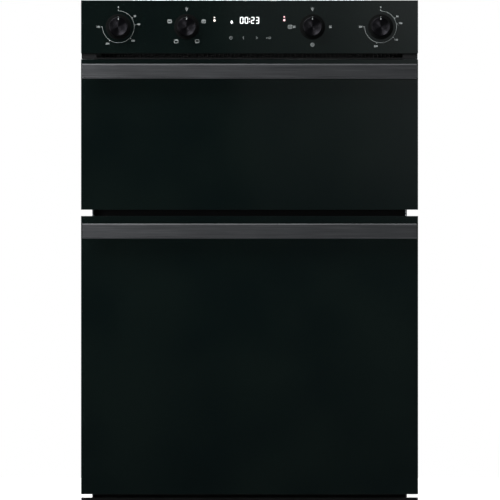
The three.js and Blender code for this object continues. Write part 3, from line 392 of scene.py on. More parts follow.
for group in (glassParts, sheetParts, solidParts):
    for node, (finish, edge) in group.items():
        refine(node, finish, edge)
for node, finish in keptParts.items():
    for index in range(len(nodes[node].material_slots)):
        nodes[node].material_slots[index].material = finishes[finish]
print("sheet, glass and wire parts finished")


# Handles: brushed bars, edges broken so that the top edge catches the light.
handleLook = {"edge": 0.3, "steps": 3}
for doorName in ("upper", "lower"):
    handle = refine(doorName + "_door_handle", "brushedAluminium", handleLook["edge"], handleLook["steps"],
                    grain=True)
    # the chamfers' lighter finish: a milled edge, and in part a painted highlight
    handle.data.materials.append(finishes["milledAluminiumPaintedHighlight"])
print("handles finished")


# Knobs and the rings behind them are turned about Y. Profile: (radius, y) pairs from the back to the front; u goes round, v is the radius.
def turnAboutY(bm, centre, profile, count, finishIndex):
    layer = bm.loops.layers.uv.get("grain") or bm.loops.layers.uv.new("grain")
    rings = []
    for radius, y in profile:
        rings.append([bm.verts.new((centre.x + radius * math.cos(2 * math.pi * k / count), y,
                                    centre.z + radius * math.sin(2 * math.pi * k / count)))
                      for k in range(count)])
    spans = list(zip(range(len(rings) - 1), range(1, len(rings))))
    for low, high in spans:
        for k in range(count):
            following = (k + 1) % count
            face = bm.faces.new((rings[low][k], rings[low][following], rings[high][following], rings[high][k]))
            face.material_index = finishIndex(low)
            face.smooth = True
            corners = [(k, low), (k + 1, low), (k + 1, high), (k, high)]
            for loop, (turn, ring) in zip(face.loops, corners):
                loop[layer].uv = (turn / count, profile[ring][0])
    return rings


knobLook = {
    "skirt": 19.6,       # radius at the panel
    "skirtHeight": 4.0,
    "waist": 17.6,
    "face": 16.6,
    "dish": 0.9,         # how far the spun face is let in
    "rimWidth": 1.1,
    "count": 96,
    "pointer": (1.4, 5.0),
}


def makeKnob(name):
    low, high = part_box("knob_" + name)
    centre = Vector(((low.x + high.x) / 2, 0, (low.z + high.z) / 2))
    front = low.y
    foot = panelLow.y - 3.0 * mm
    look = {key: value * mm for key, value in knobLook.items() if isinstance(value, float)}
    face, dish, rim = look["face"], look["dish"], look["rimWidth"]
    profile = [
        (3.0 * mm, high.y), (3.0 * mm, foot), (look["skirt"] - 0.4 * mm, foot), (look["skirt"], foot - 0.4 * mm),
        (look["skirt"], foot - look["skirtHeight"]), (look["skirt"] - 0.5 * mm, foot - look["skirtHeight"] - 0.5 * mm),
        (look["waist"] + 0.3 * mm, foot - look["skirtHeight"] - 0.7 * mm),
        (look["waist"], foot - look["skirtHeight"] - 1.2 * mm),
        (face, front + 0.7 * mm), (face - 0.2 * mm, front + 0.2 * mm), (face - 0.6 * mm, front),
        (face - rim, front), (face - rim - 0.3 * mm, front + dish * 0.6), (face - rim - 0.8 * mm, front + dish),
        (8.0 * mm, front + dish), (2.0 * mm, front + dish), (0.25 * mm, front + dish),
    ]
    bm = bmesh.new()
    rings = turnAboutY(bm, centre, profile, knobLook["count"], lambda step: 1 if step >= 9 else 0)
    bm.faces.new(rings[0])
    tip = bm.faces.new(reversed(rings[-1]))
    tip.material_index = 1
    bmesh.ops.recalc_face_normals(bm, faces=bm.faces)
    piece = fromBmesh("knobTurned_" + name, bm, finishes["satinKnob"])
    piece.data.materials.append(finishes["spunAluminium"])
    piece.data.set_sharp_from_angle(angle=math.radians(50))
    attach(piece, nodeBody["knob_" + name])
    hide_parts("knob_" + name)
    width, length = (value * mm for value in knobLook["pointer"])
    top = centre.z + look["waist"] - 0.3 * mm
    bm = bmesh.new()  # pointer let into the front edge of the knob's side
    corners = [(-width / 2, top - length), (width / 2, top - length), (width / 2, top), (-width / 2, top)]
    plate(bm, [(centre.x + u, v) for u, v in corners], front + dish - 0.05 * mm, front + dish + 0.2 * mm)
    pointer = fromBmesh("knobPointer_" + name, bm, finishes["ink"])
    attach(pointer, nodeBody["knob_" + name])


def makeRing(name):
    low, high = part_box("knob_ring_" + name)
    centre = Vector(((low.x + high.x) / 2, 0, (low.z + high.z) / 2))
    outer = (high.x - low.x) / 2
    inner = outer - 5.0 * mm
    profile = [
        (inner, high.y), (outer - 0.2 * mm, high.y), (outer, high.y - 0.2 * mm), (outer, low.y + 0.9 * mm),
        (outer - 0.3 * mm, low.y + 0.3 * mm), (outer - 0.9 * mm, low.y), (inner + 0.4 * mm, low.y),
        (inner, low.y + 0.4 * mm),
    ]
    bm = bmesh.new()
    turnAboutY(bm, centre, profile + profile[:1], knobLook["count"], lambda step: 0)
    bmesh.ops.remove_doubles(bm, verts=bm.verts, dist=0.001 * mm)
    bmesh.ops.recalc_face_normals(bm, faces=bm.faces)
    piece = fromBmesh("knobRing_" + name, bm, finishes["satinKnob"])
    piece.data.set_sharp_from_angle(angle=math.radians(50))
    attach(piece, nodeBody["knob_ring_" + name])
    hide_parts("knob_ring_" + name)


# Printing on the glass: thin plates and strokes, drawn in (x, z).
printLook = {
    "thickness": 0.06,
    "arcRadius": 28.0,
    "arcWidth": 0.38,
    "tick": (28.4, 30.4),
    "tickWidth": 0.9,
    "labelRadius": 34.6,
    "wideLabel": 0.9,    # labels of three digits stand further out
    "labelSize": 4.4,
    "line": 0.75,
    "symbolRadius": 31.5,
    "ownRadius": {"wide": 36.0, "lamp": 30.5},
    "labels": ["0", "50", "100", "150", "200", "250"],
    "upperAngles": [0, 57, 83, 134, 213, 270],
    "lowerAngles": [0, 58, 80, 130, 194, 270],
}
inkFront = panelLow.y - printLook["thickness"] * mm
inkBack = panelLow.y - 0.005 * mm


def plate(bm, outline, front=inkFront, back=inkBack):
    near = [bm.verts.new((u, front, v)) for u, v in outline]
    far = [bm.verts.new((u, back, v)) for u, v in outline]
    bm.faces.new(near)
    bm.faces.new(reversed(far))
    for k in range(len(outline)):
        following = (k + 1) % len(outline)
        bm.faces.new((near[following], near[k], far[k], far[following]))


def stroke(bm, points, width, closed=False):
    count = len(points)
    edges = []
    for k, (u, v) in enumerate(points):
        before = points[k - 1] if k or closed else points[k]
        after = points[(k + 1) % count] if k < count - 1 or closed else points[k]
        first = Vector((u - before[0], v - before[1]))
        second = Vector((after[0] - u, after[1] - v))
        first = first.normalized() if first.length else second.normalized()
        second = second.normalized() if second.length else first
        along = (first + second).normalized()
        reach = width / 2 / max(along.dot(first), 0.5)
        offset = Vector((-along.y, along.x)) * reach
        edges.append([bm.verts.new((u + s * offset.x, y, v + s * offset.y))
                      for s, y in ((1, inkFront), (-1, inkFront), (-1, inkBack), (1, inkBack))])
    for k in range(count if closed else count - 1):
        start, end = edges[k], edges[(k + 1) % count]
        for a in range(4):
            b = (a + 1) % 4
            bm.faces.new((start[a], end[a], end[b], start[b]))
    if not closed:
        bm.faces.new(reversed(edges[0]))
        bm.faces.new(edges[-1])


def arcPoints(centre, radius, start, end, count):
    turns = [math.radians(start + (end - start) * k / count) for k in range(count + 1)]
    return [(centre[0] + radius * math.sin(t), centre[1] + radius * math.cos(t)) for t in turns]


def writeText(bm, words, size, centre, front, depth):
    body = bpy.data.curves.new("letters", "FONT")
    body.body = words
    body.size = size
    body.align_x, body.align_y = "CENTER", "CENTER"
    body.extrude = depth / 2
    body.offset = size * 0.012
    body.resolution_u = 3
    letters = bpy.data.objects.new("letters", body)
    bpy.context.scene.collection.objects.link(letters)
    bpy.context.view_layer.update()
    shape = bpy.data.meshes.new_from_object(letters.evaluated_get(bpy.context.evaluated_depsgraph_get()))
    stand = Matrix.Translation((centre[0], front + depth / 2, centre[1])) @ Matrix.Rotation(math.pi / 2, 4, "X")
    shape.transform(stand)
    bm.from_mesh(shape)
    bpy.data.objects.remove(letters)
    bpy.data.meshes.remove(shape)


def knobCentre(name):
    low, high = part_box("knob_" + name)
    return (low.x + high.x) / 2, (low.z + high.z) / 2


# Symbols in mm about their own centre: lists of strokes, closed outlines and filled dots.
def dot(radius, u=0.0, v=0.0, count=20):
    return [(u + radius * math.cos(2 * math.pi * k / count), v + radius * math.sin(2 * math.pi * k / count))
            for k in range(count)]


def roundedBox(width, height, corner):
    outline = []
    for cornerU, cornerV, start in ((1, -1, -90), (1, 1, 0), (-1, 1, 90), (-1, -1, 180)):
        for step in range(4):
            turn = math.radians(start + 30 * step)
            outline.append((cornerU * (width / 2 - corner) + corner * math.cos(turn),
                            cornerV * (height / 2 - corner) + corner * math.sin(turn)))
    return outline


def fanBlades(radius):
    blades = []
    for quarter in range(4):
        turn = math.radians(45 + 90 * quarter)
        blades.append([(r * math.cos(turn + bend), r * math.sin(turn + bend))
                       for r, bend in ((0.25 * radius, -0.5), (radius, -0.28), (radius * 1.02, 0.3),
                                       (0.25 * radius, 0.5))])
    return blades


ovenBox = roundedBox(6.4, 5.6, 1.0)
symbols = {
    "lamp": {"closed": [dot(1.5, 0, 0.9)], "open": [[(-0.6, -1.2), (0.6, -1.2)], [(-0.5, -2.1), (0.5, -2.1)],
             [(0, 3.2), (0, 4.2)], [(-2.0, 2.5), (-2.7, 3.3)], [(2.0, 2.5), (2.7, 3.3)]]},
    "grill": {"closed": [ovenBox], "open": [[(-2.2, 0.6), (-1.5, 1.7), (-0.7, 0.6), (0, 1.7), (0.7, 0.6),
              (1.5, 1.7), (2.2, 0.6)], [(-2.2, -0.9), (2.2, -0.9)]]},
    "top": {"closed": [ovenBox], "open": [[(-2.0, 1.4), (2.0, 1.4)]]},
    "bottom": {"closed": [ovenBox], "open": [[(-2.0, -1.4), (2.0, -1.4)]]},
    "both": {"closed": [ovenBox], "open": [[(-2.0, 1.4), (2.0, 1.4)], [(-2.0, -1.4), (2.0, -1.4)]]},
    "fan": {"filled": fanBlades(2.9) + [dot(0.8)]},
    "ringFan": {"filled": fanBlades(1.7), "closed": [dot(2.9, count=28)]},
    "wide": {"closed": [[(u - 3.6, v) for u, v in ovenBox]], "filled": [[(u - 3.6, v) for u, v in blade]
             for blade in fanBlades(1.9)] + [[(u + 3.9, v) for u, v in blade] for blade in fanBlades(2.7)]},
}


# Points in mm about a centre in metres.
def shiftPoints(points, centre):
    return [(centre[0] + u * mm, centre[1] + v * mm) for u, v in points]


def drawSymbol(bm, name, centre):
    shape = symbols[name]
    for points in shape.get("closed", []):
        stroke(bm, shiftPoints(points, centre), printLook["line"] * mm, closed=True)
    for points in shape.get("open", []):
        stroke(bm, shiftPoints(points, centre), printLook["line"] * mm)
    for points in shape.get("filled", []):
        plate(bm, shiftPoints(points, centre))


def around(centre, radius, angle):
    turn = math.radians(angle)
    return centre[0] + radius * mm * math.sin(turn), centre[1] + radius * mm * math.cos(turn)


printBm = bmesh.new()
for name, angles in (("upper_temperature", printLook["upperAngles"]), ("lower_temperature", printLook["lowerAngles"])):
    centre = knobCentre(name)
    stroke(printBm, arcPoints(centre, printLook["arcRadius"] * mm, 2, 268, 90), printLook["arcWidth"] * mm)
    for label, angle in zip(printLook["labels"], angles):
        stroke(printBm, [around(centre, reach, angle) for reach in printLook["tick"]], printLook["tickWidth"] * mm)
        reach = printLook["labelRadius"] + (printLook["wideLabel"] if len(label) > 2 else 0.0)
        writeText(printBm, label, printLook["labelSize"] * mm, around(centre, reach, angle), inkFront,
                  (inkBack - inkFront))
selectors = {
    "upper_function": [("lamp", 0), ("grill", 72), ("bottom", 144), ("top", 216), ("both", 288)],
    "lower_function": [("lamp", 0), ("fan", 90), ("ringFan", 180), ("wide", 270)],
}
for name, marks in selectors.items():
    centre = knobCentre(name)
    for symbol, angle in marks:
        reach = printLook["ownRadius"].get(symbol, printLook["symbolRadius"])
        drawSymbol(printBm, symbol, around(centre, reach, angle))
bmesh.ops.recalc_face_normals(printBm, faces=printBm.faces)
panelPrint = fromBmesh("panelPrint", printBm, finishes["ink"])
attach(panelPrint, "chassis")
print("dials printed")


# Display and touch keys, in mm.
displayLook = {
    "centre": 852.7,     # height of the digits' middle
    "digitWidth": 6.0,
    "digitHeight": 11.6,
    "segment": 1.15,
    "pitch": 8.4,
    "colonRoom": 2.6,
    "colonRise": 2.4,
    "colonDot": 0.85,
    "bell": (-31.4, 849.9),
    "reading": "0023",
    "keys": 821.8,       # height of the touch keys
}
segmentsLit = {"0": "abcdef", "2": "abged", "3": "abgcd"}


def drawDigit(bm, digit, u, v):
    w, h = displayLook["digitWidth"] / 2, displayLook["digitHeight"] / 2
    t = displayLook["segment"] / 2
    across = [(-w + t, 0), (-w + 2 * t, t), (w - 2 * t, t), (w - t, 0), (w - 2 * t, -t), (-w + 2 * t, -t)]
    half = h - t
    upright = [(0, 0.1), (t, t), (t, half - t), (0, half - 0.1), (-t, half - t), (-t, t)]
    places = {
        "a": [(x, y + half) for x, y in across], "g": across, "d": [(x, y - half) for x, y in across],
        "b": [(x + w - t, y) for x, y in upright], "f": [(x - w + t, y) for x, y in upright],
        "c": [(x + w - t, y - half) for x, y in upright], "e": [(x - w + t, y - half) for x, y in upright],
    }
    for segment in segmentsLit[digit]:
        plate(bm, shiftPoints(places[segment], (u * mm, v * mm)))


litBm = bmesh.new()
for digit, place in zip(displayLook["reading"], (-1.5, -0.5, 0.5, 1.5)):
    drawDigit(litBm, digit, place * displayLook["pitch"] + math.copysign(displayLook["colonRoom"] / 2, place),
              displayLook["centre"])
for rise in (-displayLook["colonRise"], displayLook["colonRise"]):
    plate(litBm, shiftPoints(dot(displayLook["colonDot"], 0, rise), (0, displayLook["centre"] * mm)))
bell = [(-2.3, -1.9), (2.3, -1.9), (1.6, -0.8), (1.5, 1.2), (0.8, 2.2), (-0.8, 2.2), (-1.5, 1.2), (-1.6, -0.8)]
for outline in (bell, dot(0.7, 0, -2.9)):
    plate(litBm, shiftPoints(outline, [value * mm for value in displayLook["bell"]]))
bmesh.ops.recalc_face_normals(litBm, faces=litBm.faces)
displayLit = fromBmesh("displayLit", litBm, finishes["segments"])
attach(displayLit, "chassis")

keyBm = bmesh.new()
# clock, smaller, greater and key: (points, width of the stroke, closed), in mm about the keys' height
keyStrokes = [
    ([(u - 33.0, v) for u, v in dot(2.5, count=28)], 0.8, True),
    ([(-33.0, 1.5), (-33.0, 0), (-31.7, 0)], 0.7, False),
    ([(-9.9, 2.4), (-11.7, 0), (-9.9, -2.4)], 0.9, False),
    ([(11.6, 2.4), (13.6, 0), (11.6, -2.4)], 1.0, False),
    ([(u + 35.6, v) for u, v in dot(1.7, count=24)], 0.9, True),
    ([(33.9, 0), (29.8, 0), (29.8, -1.5)], 0.9, False),
]
for points, width, closed in keyStrokes:
    stroke(keyBm, shiftPoints(points, (0, displayLook["keys"] * mm)), width * mm, closed)
bmesh.ops.recalc_face_normals(keyBm, faces=keyBm.faces)
touchKeys = fromBmesh("touchKeys", keyBm, finishes["keyInk"])
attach(touchKeys, "chassis")

# (name, x, lower dot height, upper dot height, finish)
for name, x, lowDot, highDot, finish in (("indicatorLeft", -62.0, 852.3, 857.7, "warmGlow"),
                                         ("indicatorRight", 61.2, 853.0, 858.8, "redGlow")):
    bm = bmesh.new()
    for radius, height in ((1.9, lowDot), (1.2, highDot)):
        plate(bm, shiftPoints(dot(radius, x, height), (0, 0)))
    bmesh.ops.recalc_face_normals(bm, faces=bm.faces)
    lamp = fromBmesh(name, bm, finishes[finish])
    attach(lamp, "chassis")

for knobName in knobNames:
    makeKnob(knobName)
    makeRing(knobName)
print("knobs, display and keys made")


# Screws, bars and printed dots are made with Geometry Nodes. A tree with a geometry input and output and the named inputs given.
def startTree(name, inputs):
    tree = bpy.data.node_groups.new(name, "GeometryNodeTree")
    face = tree.interface
    face.new_socket("Geometry", in_out="INPUT", socket_type="NodeSocketGeometry")
    for label, kind in inputs.items():
        face.new_socket(label, in_out="INPUT", socket_type="NodeSocket" + kind)
    face.new_socket("Geometry", in_out="OUTPUT", socket_type="NodeSocketGeometry")
    return tree, addNode(tree, "NodeGroupInput").outputs


# The piece stands on every point of the input mesh; a named attribute turns or scales it.
def standOnPoints(tree, start, piece, sockets):
    points = addNode(tree, "GeometryNodeMeshToPoints", None, {"Mesh": start["Geometry"]})
    return addNode(tree, "GeometryNodeInstanceOnPoints", None,
                   {"Points": points.outputs["Points"], "Instance": piece, **sockets})


# The rotation that turns Z to the point's "facing".
def faceAlong(tree):
    facing = addNode(tree, "GeometryNodeInputNamedAttribute", {"data_type": "FLOAT_VECTOR", "Name": "facing"})
    return addNode(tree, "FunctionNodeAlignRotationToVector", {"axis": "Z"},
                   {"Vector": facing.outputs["Attribute"]}).outputs["Rotation"]


def endTree(tree, instances, finish):
    real = addNode(tree, "GeometryNodeRealizeInstances", None, {"Geometry": instances})
    coated = addNode(tree, "GeometryNodeSetMaterial", None, {"Geometry": real.outputs["Geometry"], "Material": finish})
    addNode(tree, "NodeGroupOutput", None, {"Geometry": coated.outputs["Geometry"]})


# One tree: a pan head with a crossed recess on every point of a mesh, its axis along the point's "facing".
def screwTree():
    tree, start = startTree("panHeadScrews", {"Head Radius": "Float", "Head Height": "Float", "Recess": "Float",
                                              "Turn Seed": "Int", "Finish": "Material"})
    crown = addNode(tree, "ShaderNodeMath", {"operation": "MULTIPLY", 1: 0.62}, {0: start["Head Radius"]})
    head = addNode(tree, "GeometryNodeMeshCone", {"Vertices": 28, "Side Segments": 1},
                   {"Radius Top": crown.outputs[0], "Radius Bottom": start["Head Radius"],
                    "Depth": start["Head Height"]})
    arm = addNode(tree, "ShaderNodeMath", {"operation": "MULTIPLY", 1: 0.24}, {0: start["Recess"]})
    cuts = []
    for order in (("Recess", "arm"), ("arm", "Recess")):
        sizes = [start["Recess"] if name == "Recess" else arm.outputs[0] for name in order]
        size = addNode(tree, "ShaderNodeCombineXYZ", None, {0: sizes[0], 1: sizes[1], 2: start["Head Height"]})
        cuts.append(addNode(tree, "GeometryNodeMeshCube", None, {"Size": size.outputs[0]}))
    lift = addNode(tree, "ShaderNodeCombineXYZ", None, {2: start["Head Height"]})
    bothCuts = addNode(tree, "GeometryNodeMeshBoolean", {"operation": "UNION", "solver": "EXACT"})
    for part in cuts:
        tree.links.new(part.outputs["Mesh"], bothCuts.inputs["Mesh 2"])
    cutPlace = addNode(tree, "GeometryNodeTransform", None, {"Geometry": bothCuts.outputs["Mesh"],
                                                             "Translation": lift.outputs[0]})
    recessed = addNode(tree, "GeometryNodeMeshBoolean", {"operation": "DIFFERENCE", "solver": "EXACT"},
                       {"Mesh 1": head.outputs["Mesh"], "Mesh 2": cutPlace.outputs["Geometry"]})
    spin = addNode(tree, "FunctionNodeRandomValue", {"data_type": "FLOAT", 2: 0.0, 3: 3.14},
                   {"Seed": start["Turn Seed"]})
    turn = addNode(tree, "ShaderNodeCombineXYZ", None, {2: spin.outputs[1]})
    placed = standOnPoints(tree, start, recessed.outputs["Mesh"], {"Rotation": faceAlong(tree)})
    spun = addNode(tree, "GeometryNodeRotateInstances", None,
                   {"Instances": placed.outputs["Instances"], "Rotation": turn.outputs[0]})
    endTree(tree, spun.outputs["Instances"], start["Finish"])
    return tree


def runTree(name, tree, base, inputs):
    modifier = base.modifiers.new("grow", "NODES")
    modifier.node_group = tree
    sockets = {item.name: item.identifier for item in tree.interface.items_tree if item.in_out == "INPUT"}
    for label, value in inputs.items():
        modifier[sockets[label]] = value
    bpy.context.view_layer.update()
    mesh = bpy.data.meshes.new_from_object(base.evaluated_get(bpy.context.evaluated_depsgraph_get()))
    mesh.name = name
    base.modifiers.remove(modifier)
    bpy.data.objects.remove(base)
    return newObject(name, mesh)


# A mesh of bare points, each with one value of a named attribute.
def markPoints(name, points, attribute, kind, field, values):
    base = newObject(name + "_places", bpy.data.meshes.new(name + "_places"))
    base.data.from_pydata(points, [], [])
    marks = base.data.attributes.new(attribute, kind, "POINT")
    for mark, value in zip(marks.data, values):
        setattr(mark, field, value)
    return base


def markFacing(name, places):
    return markPoints(name, [point for point, axis in places], "facing", "FLOAT_VECTOR", "vector",
                      [axis for point, axis in places])


screwLook = {"radius": 3.6, "height": 1.8, "recess": 3.4, "seed": 7}
screws = screwTree()


def setScrews(name, places, body, scale=1.0):
    piece = runTree(name, screws, markFacing(name, places), {
        "Head Radius": screwLook["radius"] * mm * scale, "Head Height": screwLook["height"] * mm * scale,
        "Recess": screwLook["recess"] * mm * scale, "Turn Seed": screwLook["seed"], "Finish": finishes["zinc"]})
    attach(piece, body)


def spread(low, high, count, inset):
    return [low + inset + (high - low - 2 * inset) * k / (count - 1) for k in range(count)]


# Distances from the edges of each sheet, in mm; (count, inset) for a row.
screwRows = {
    "sideBack": (6, 30.0, 9.0), "sideFront": (5, 60.0, 34.0), "sideAlong": (4, 90.0, 9.0, 18.0),
    "backAcross": (5, 12.0, 10.0), "backUp": (5, 160.0, 12.0), "topAcross": (4, 14.0), "topRows": (95.0, 12.0),
    "terminal": 12.0, "fanCover": 14.0, "door": (3, 26.0, 14.0),
}
chassisScrews = []
for side, node in ((-1, "side_panel_left"), (1, "side_panel_right")):
    low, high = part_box(node)
    x = low.x if side < 0 else high.x
    count, inset, edge = screwRows["sideBack"]
    places = [(high.y - edge * mm, z) for z in spread(low.z, high.z, count, inset * mm)]
    count, inset, edge = screwRows["sideFront"]
    places += [(low.y + edge * mm, z) for z in spread(low.z, high.z, count, inset * mm)]
    count, inset, top, foot = screwRows["sideAlong"]
    for y in spread(low.y, high.y, count, inset * mm):
        places += [(y, high.z - top * mm), (y, low.z + foot * mm)]
    chassisScrews += [((x, y, z), (side, 0, 0)) for y, z in places]
low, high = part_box("back_panel")
count, inset, edge = screwRows["backAcross"]
places = [(x, z) for x in spread(low.x, high.x, count, inset * mm) for z in (low.z + edge * mm, high.z - edge * mm)]
count, inset, edge = screwRows["backUp"]
places += [(x, z) for z in spread(low.z, high.z, count, inset * mm) for x in (low.x + edge * mm, high.x - edge * mm)]
chassisScrews += [((x, high.y, z), (0, 1, 0)) for x, z in places]
low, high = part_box("top_cover")
count, inset = screwRows["topAcross"]
front, back = screwRows["topRows"]
chassisScrews += [((x, y, high.z), (0, 0, 1)) for x in spread(low.x, high.x, count, inset * mm)
                  for y in (low.y + front * mm, high.y - back * mm)]
setScrews("chassisScrews", chassisScrews, "chassis")
print("chassis screws set:", len(chassisScrews))

low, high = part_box("terminal_cover")
middle, edge = (low.y + high.y) / 2, screwRows["terminal"] * mm
setScrews("terminalScrews", [((x, middle, z), (side, 0, 0)) for side, x in ((-1, low.x), (1, high.x))
                             for z in (low.z + edge, high.z - edge)], "chassis", scale=0.7)
low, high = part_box("fan_cover")
edge = screwRows["fanCover"] * mm
setScrews("fanCoverScrews", [((x, low.y, z), (0, -1, 0)) for x in (low.x + edge, high.x - edge)
                             for z in (low.z + edge, high.z - edge)], "chassis")
for doorName in ("upper", "lower"):
    low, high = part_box(doorName + "_door_frame")
    count, inset, edge = screwRows["door"]
    places = [((x, high.y, z), (0, 1, 0)) for x in (low.x + edge * mm, high.x - edge * mm)
              for z in spread(low.z, high.z, count, inset * mm)]
    setScrews(doorName + "DoorScrews", places, doorName + "_door", scale=0.8)
print("screws set")


# Ribs of the air outlet and louvres pressed in the sides. One tree: a half-round bar on every point, bulging
# along the point's "facing", its length across it.
def barTree():
    tree, start = startTree("halfRoundBars", {"Bar Length": "Float", "Bar Radius": "Float", "Bulge": "Float",
                                              "Finish": "Material"})
    ball = addNode(tree, "GeometryNodeMeshUVSphere", {"Segments": 16, "Rings": 8},
                   {"Radius": start["Bar Radius"]})
    stretchBy = addNode(tree, "ShaderNodeMath", {"operation": "DIVIDE"},
                        {0: start["Bar Length"], 1: start["Bar Radius"]})
    halved = addNode(tree, "ShaderNodeMath", {"operation": "MULTIPLY", 1: 0.5}, {0: stretchBy.outputs[0]})
    size = addNode(tree, "ShaderNodeCombineXYZ", {0: 1.0}, {1: halved.outputs[0], 2: start["Bulge"]})
    bar = addNode(tree, "GeometryNodeTransform", None, {"Geometry": ball.outputs["Mesh"], "Scale": size.outputs[0]})
    placed = standOnPoints(tree, start, bar.outputs["Geometry"], {"Rotation": faceAlong(tree)})
    endTree(tree, placed.outputs["Instances"], start["Finish"])
    return tree


halfRoundBars = barTree()


def setBars(name, places, slot, finish, length, radius, bulge):
    piece = runTree(name, halfRoundBars, markFacing(name, places), {
        "Bar Length": length * mm, "Bar Radius": radius * mm, "Bulge": bulge, "Finish": finishes[finish]})
    for polygon in piece.data.polygons:
        polygon.use_smooth = True
    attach(piece, "chassis")


outletLook = {"pitch": 7.0, "bar": 9.2, "radius": 1.3, "bulge": 1.4, "y": -212.0, "halfWidth": 261.0,
              "low": 786.4, "high": 795.6, "backThick": 1.2}
low, high = outletLook["low"] * mm, outletLook["high"] * mm
bm = bmesh.new()
plate(bm, [(-outletLook["halfWidth"] * mm, low), (outletLook["halfWidth"] * mm, low),
           (outletLook["halfWidth"] * mm, high), (-outletLook["halfWidth"] * mm, high)],
      outletLook["y"] * mm, (outletLook["y"] + outletLook["backThick"]) * mm)
bmesh.ops.recalc_face_normals(bm, faces=bm.faces)
outletBack = fromBmesh("outletGrilleBack", bm, finishes["blackPlastic"])
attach(outletBack, "chassis")
count = int(2 * outletLook["halfWidth"] / outletLook["pitch"])
setBars("outletGrilleBars",
        [(((k - (count - 1) / 2) * outletLook["pitch"] * mm, outletLook["y"] * mm, (low + high) / 2), (0, -1, 0))
         for k in range(count)],
        "black_plastic", "blackPlastic", outletLook["bar"], outletLook["radius"], outletLook["bulge"])

# Louvres pressed out of the side panels in two columns over each oven.
# The gap entries size the black strip under each louvre and set how far below it sits: painted shade for the shaded
# opening.
louvreLook = {"length": 66.0, "radius": 4.2, "bulge": 0.25, "gap": (62.0, 1.6, 0.2), "shadeStripDrop": 4.0,
              "pitch": 15.0, "count": 9, "columns": (-60.0, 160.0), "starts": (585.0, 250.0)}
louvres, shadeStrips = [], []  # each louvre has a black strip of painted shade below it, standing for its shaded opening
for side, node in ((-1, "side_panel_left"), (1, "side_panel_right")):
    low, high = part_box(node)
    x = low.x if side < 0 else high.x
    for y in louvreLook["columns"]:
        for start in louvreLook["starts"]:
            for k in range(louvreLook["count"]):
                z = start + k * louvreLook["pitch"]
                louvres.append(((x, y * mm, z * mm), (side, 0, 0)))
                shadeStrips.append(((x, y * mm, (z - louvreLook["shadeStripDrop"]) * mm), (side, 0, 0)))
setBars("sideLouvres", louvres, "galvanised_steel", "galvanised", louvreLook["length"], louvreLook["radius"],
        louvreLook["bulge"])
# black strips of painted shade, where the openings under the louvres lie in shade
setBars("sideLouvrePaintedShade", shadeStrips, "black_enamel", "blackCoat", *louvreLook["gap"])
print("outlet ribs and louvres made")


# Frit on the inner panes: a printed border with rows of dots that thin out towards the view.
def fritTree():
    tree, start = startTree("fritDots", {"Dot Radius": "Float", "Thickness": "Float", "Finish": "Material"})
    disc = addNode(tree, "GeometryNodeMeshCylinder", {"Vertices": 6},
                   {"Radius": start["Dot Radius"], "Depth": start["Thickness"]})
    stand = addNode(tree, "GeometryNodeTransform", {"Rotation": (math.pi / 2, 0, 0)},
                    {"Geometry": disc.outputs["Mesh"]})
    size = addNode(tree, "GeometryNodeInputNamedAttribute", {"data_type": "FLOAT", "Name": "size"})
    placed = standOnPoints(tree, start, stand.outputs["Geometry"], {"Scale": size.outputs["Attribute"]})
    endTree(tree, placed.outputs["Instances"], start["Finish"])
    return tree


fritLook = {"edge": 1.5, "border": 26.0, "rows": 4, "pitch": 3.0, "dot": 1.15, "smallest": 0.2,
            "thickness": 0.06, "gap": 0.01}
fritDots = fritTree()


def printInnerPane(doorName):
    low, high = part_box(doorName + "_door_inner_glass")
    back = low.y - fritLook["gap"] * mm
    front = back - fritLook["thickness"] * mm
    outer, inner = ([(low.x + inset, low.z + inset), (high.x - inset, low.z + inset),
                     (high.x - inset, high.z - inset), (low.x + inset, high.z - inset)]
                    for inset in (fritLook["edge"] * mm, (fritLook["edge"] + fritLook["border"]) * mm))
    bm = bmesh.new()
    loops = [[bm.verts.new((u, y, v)) for u, v in outline]
             for outline, y in ((outer, front), (inner, front), (inner, back), (outer, back))]
    for a in range(4):
        for k in range(4):
            b, following = (a + 1) % 4, (k + 1) % 4
            bm.faces.new((loops[a][k], loops[a][following], loops[b][following], loops[b][k]))
    bmesh.ops.recalc_face_normals(bm, faces=bm.faces)
    band = fromBmesh(doorName + "PaneBorder", bm, finishes["frit"])
    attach(band, doorName + "_door")
    pitch, rows = fritLook["pitch"] * mm, fritLook["rows"]
    points, sizes = [], []
    innerLow, innerHigh = inner[0], inner[2]
    across = int((innerHigh[0] - innerLow[0]) / pitch)
    up = int((innerHigh[1] - innerLow[1]) / pitch)
    for i in range(across + 1):
        for j in range(up + 1):
            row = min(i, j, across - i, up - j)
            if row < rows:
                points.append((innerLow[0] + (innerHigh[0] - innerLow[0]) * i / across,
                               (front + back) / 2, innerLow[1] + (innerHigh[1] - innerLow[1]) * j / up))
                sizes.append(1.0 - (1.0 - fritLook["smallest"]) * row / rows)
    base = markPoints(doorName + "Frit", points, "size", "FLOAT", "value", sizes)
    dots = runTree(doorName + "PaneDots", fritDots, base,
                   {"Dot Radius": fritLook["dot"] * mm, "Thickness": fritLook["thickness"] * mm,
                    "Finish": finishes["frit"]})
    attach(dots, doorName + "_door")


for doorName in ("upper", "lower"):
    printInnerPane(doorName)
print("inner panes printed")


# Studio: pale floor, one toned card that the glass mirrors, four soft lights and the camera.
def makeFloor():
    look = {"reach": 2.4, "colour": ("f1f0ee", "f5f4f2")}
    bm = bmesh.new()
    bmesh.ops.create_grid(bm, x_segments=1, y_segments=1, size=look["reach"])
    material = makeGrained("paintedStudioFloor", look["colour"][0], look["colour"][1], 0.01, 0.0002, (0.6, 0.7))
    floor = fromBmesh("studioFloor", bm, material)
    floor.visible_glossy = False


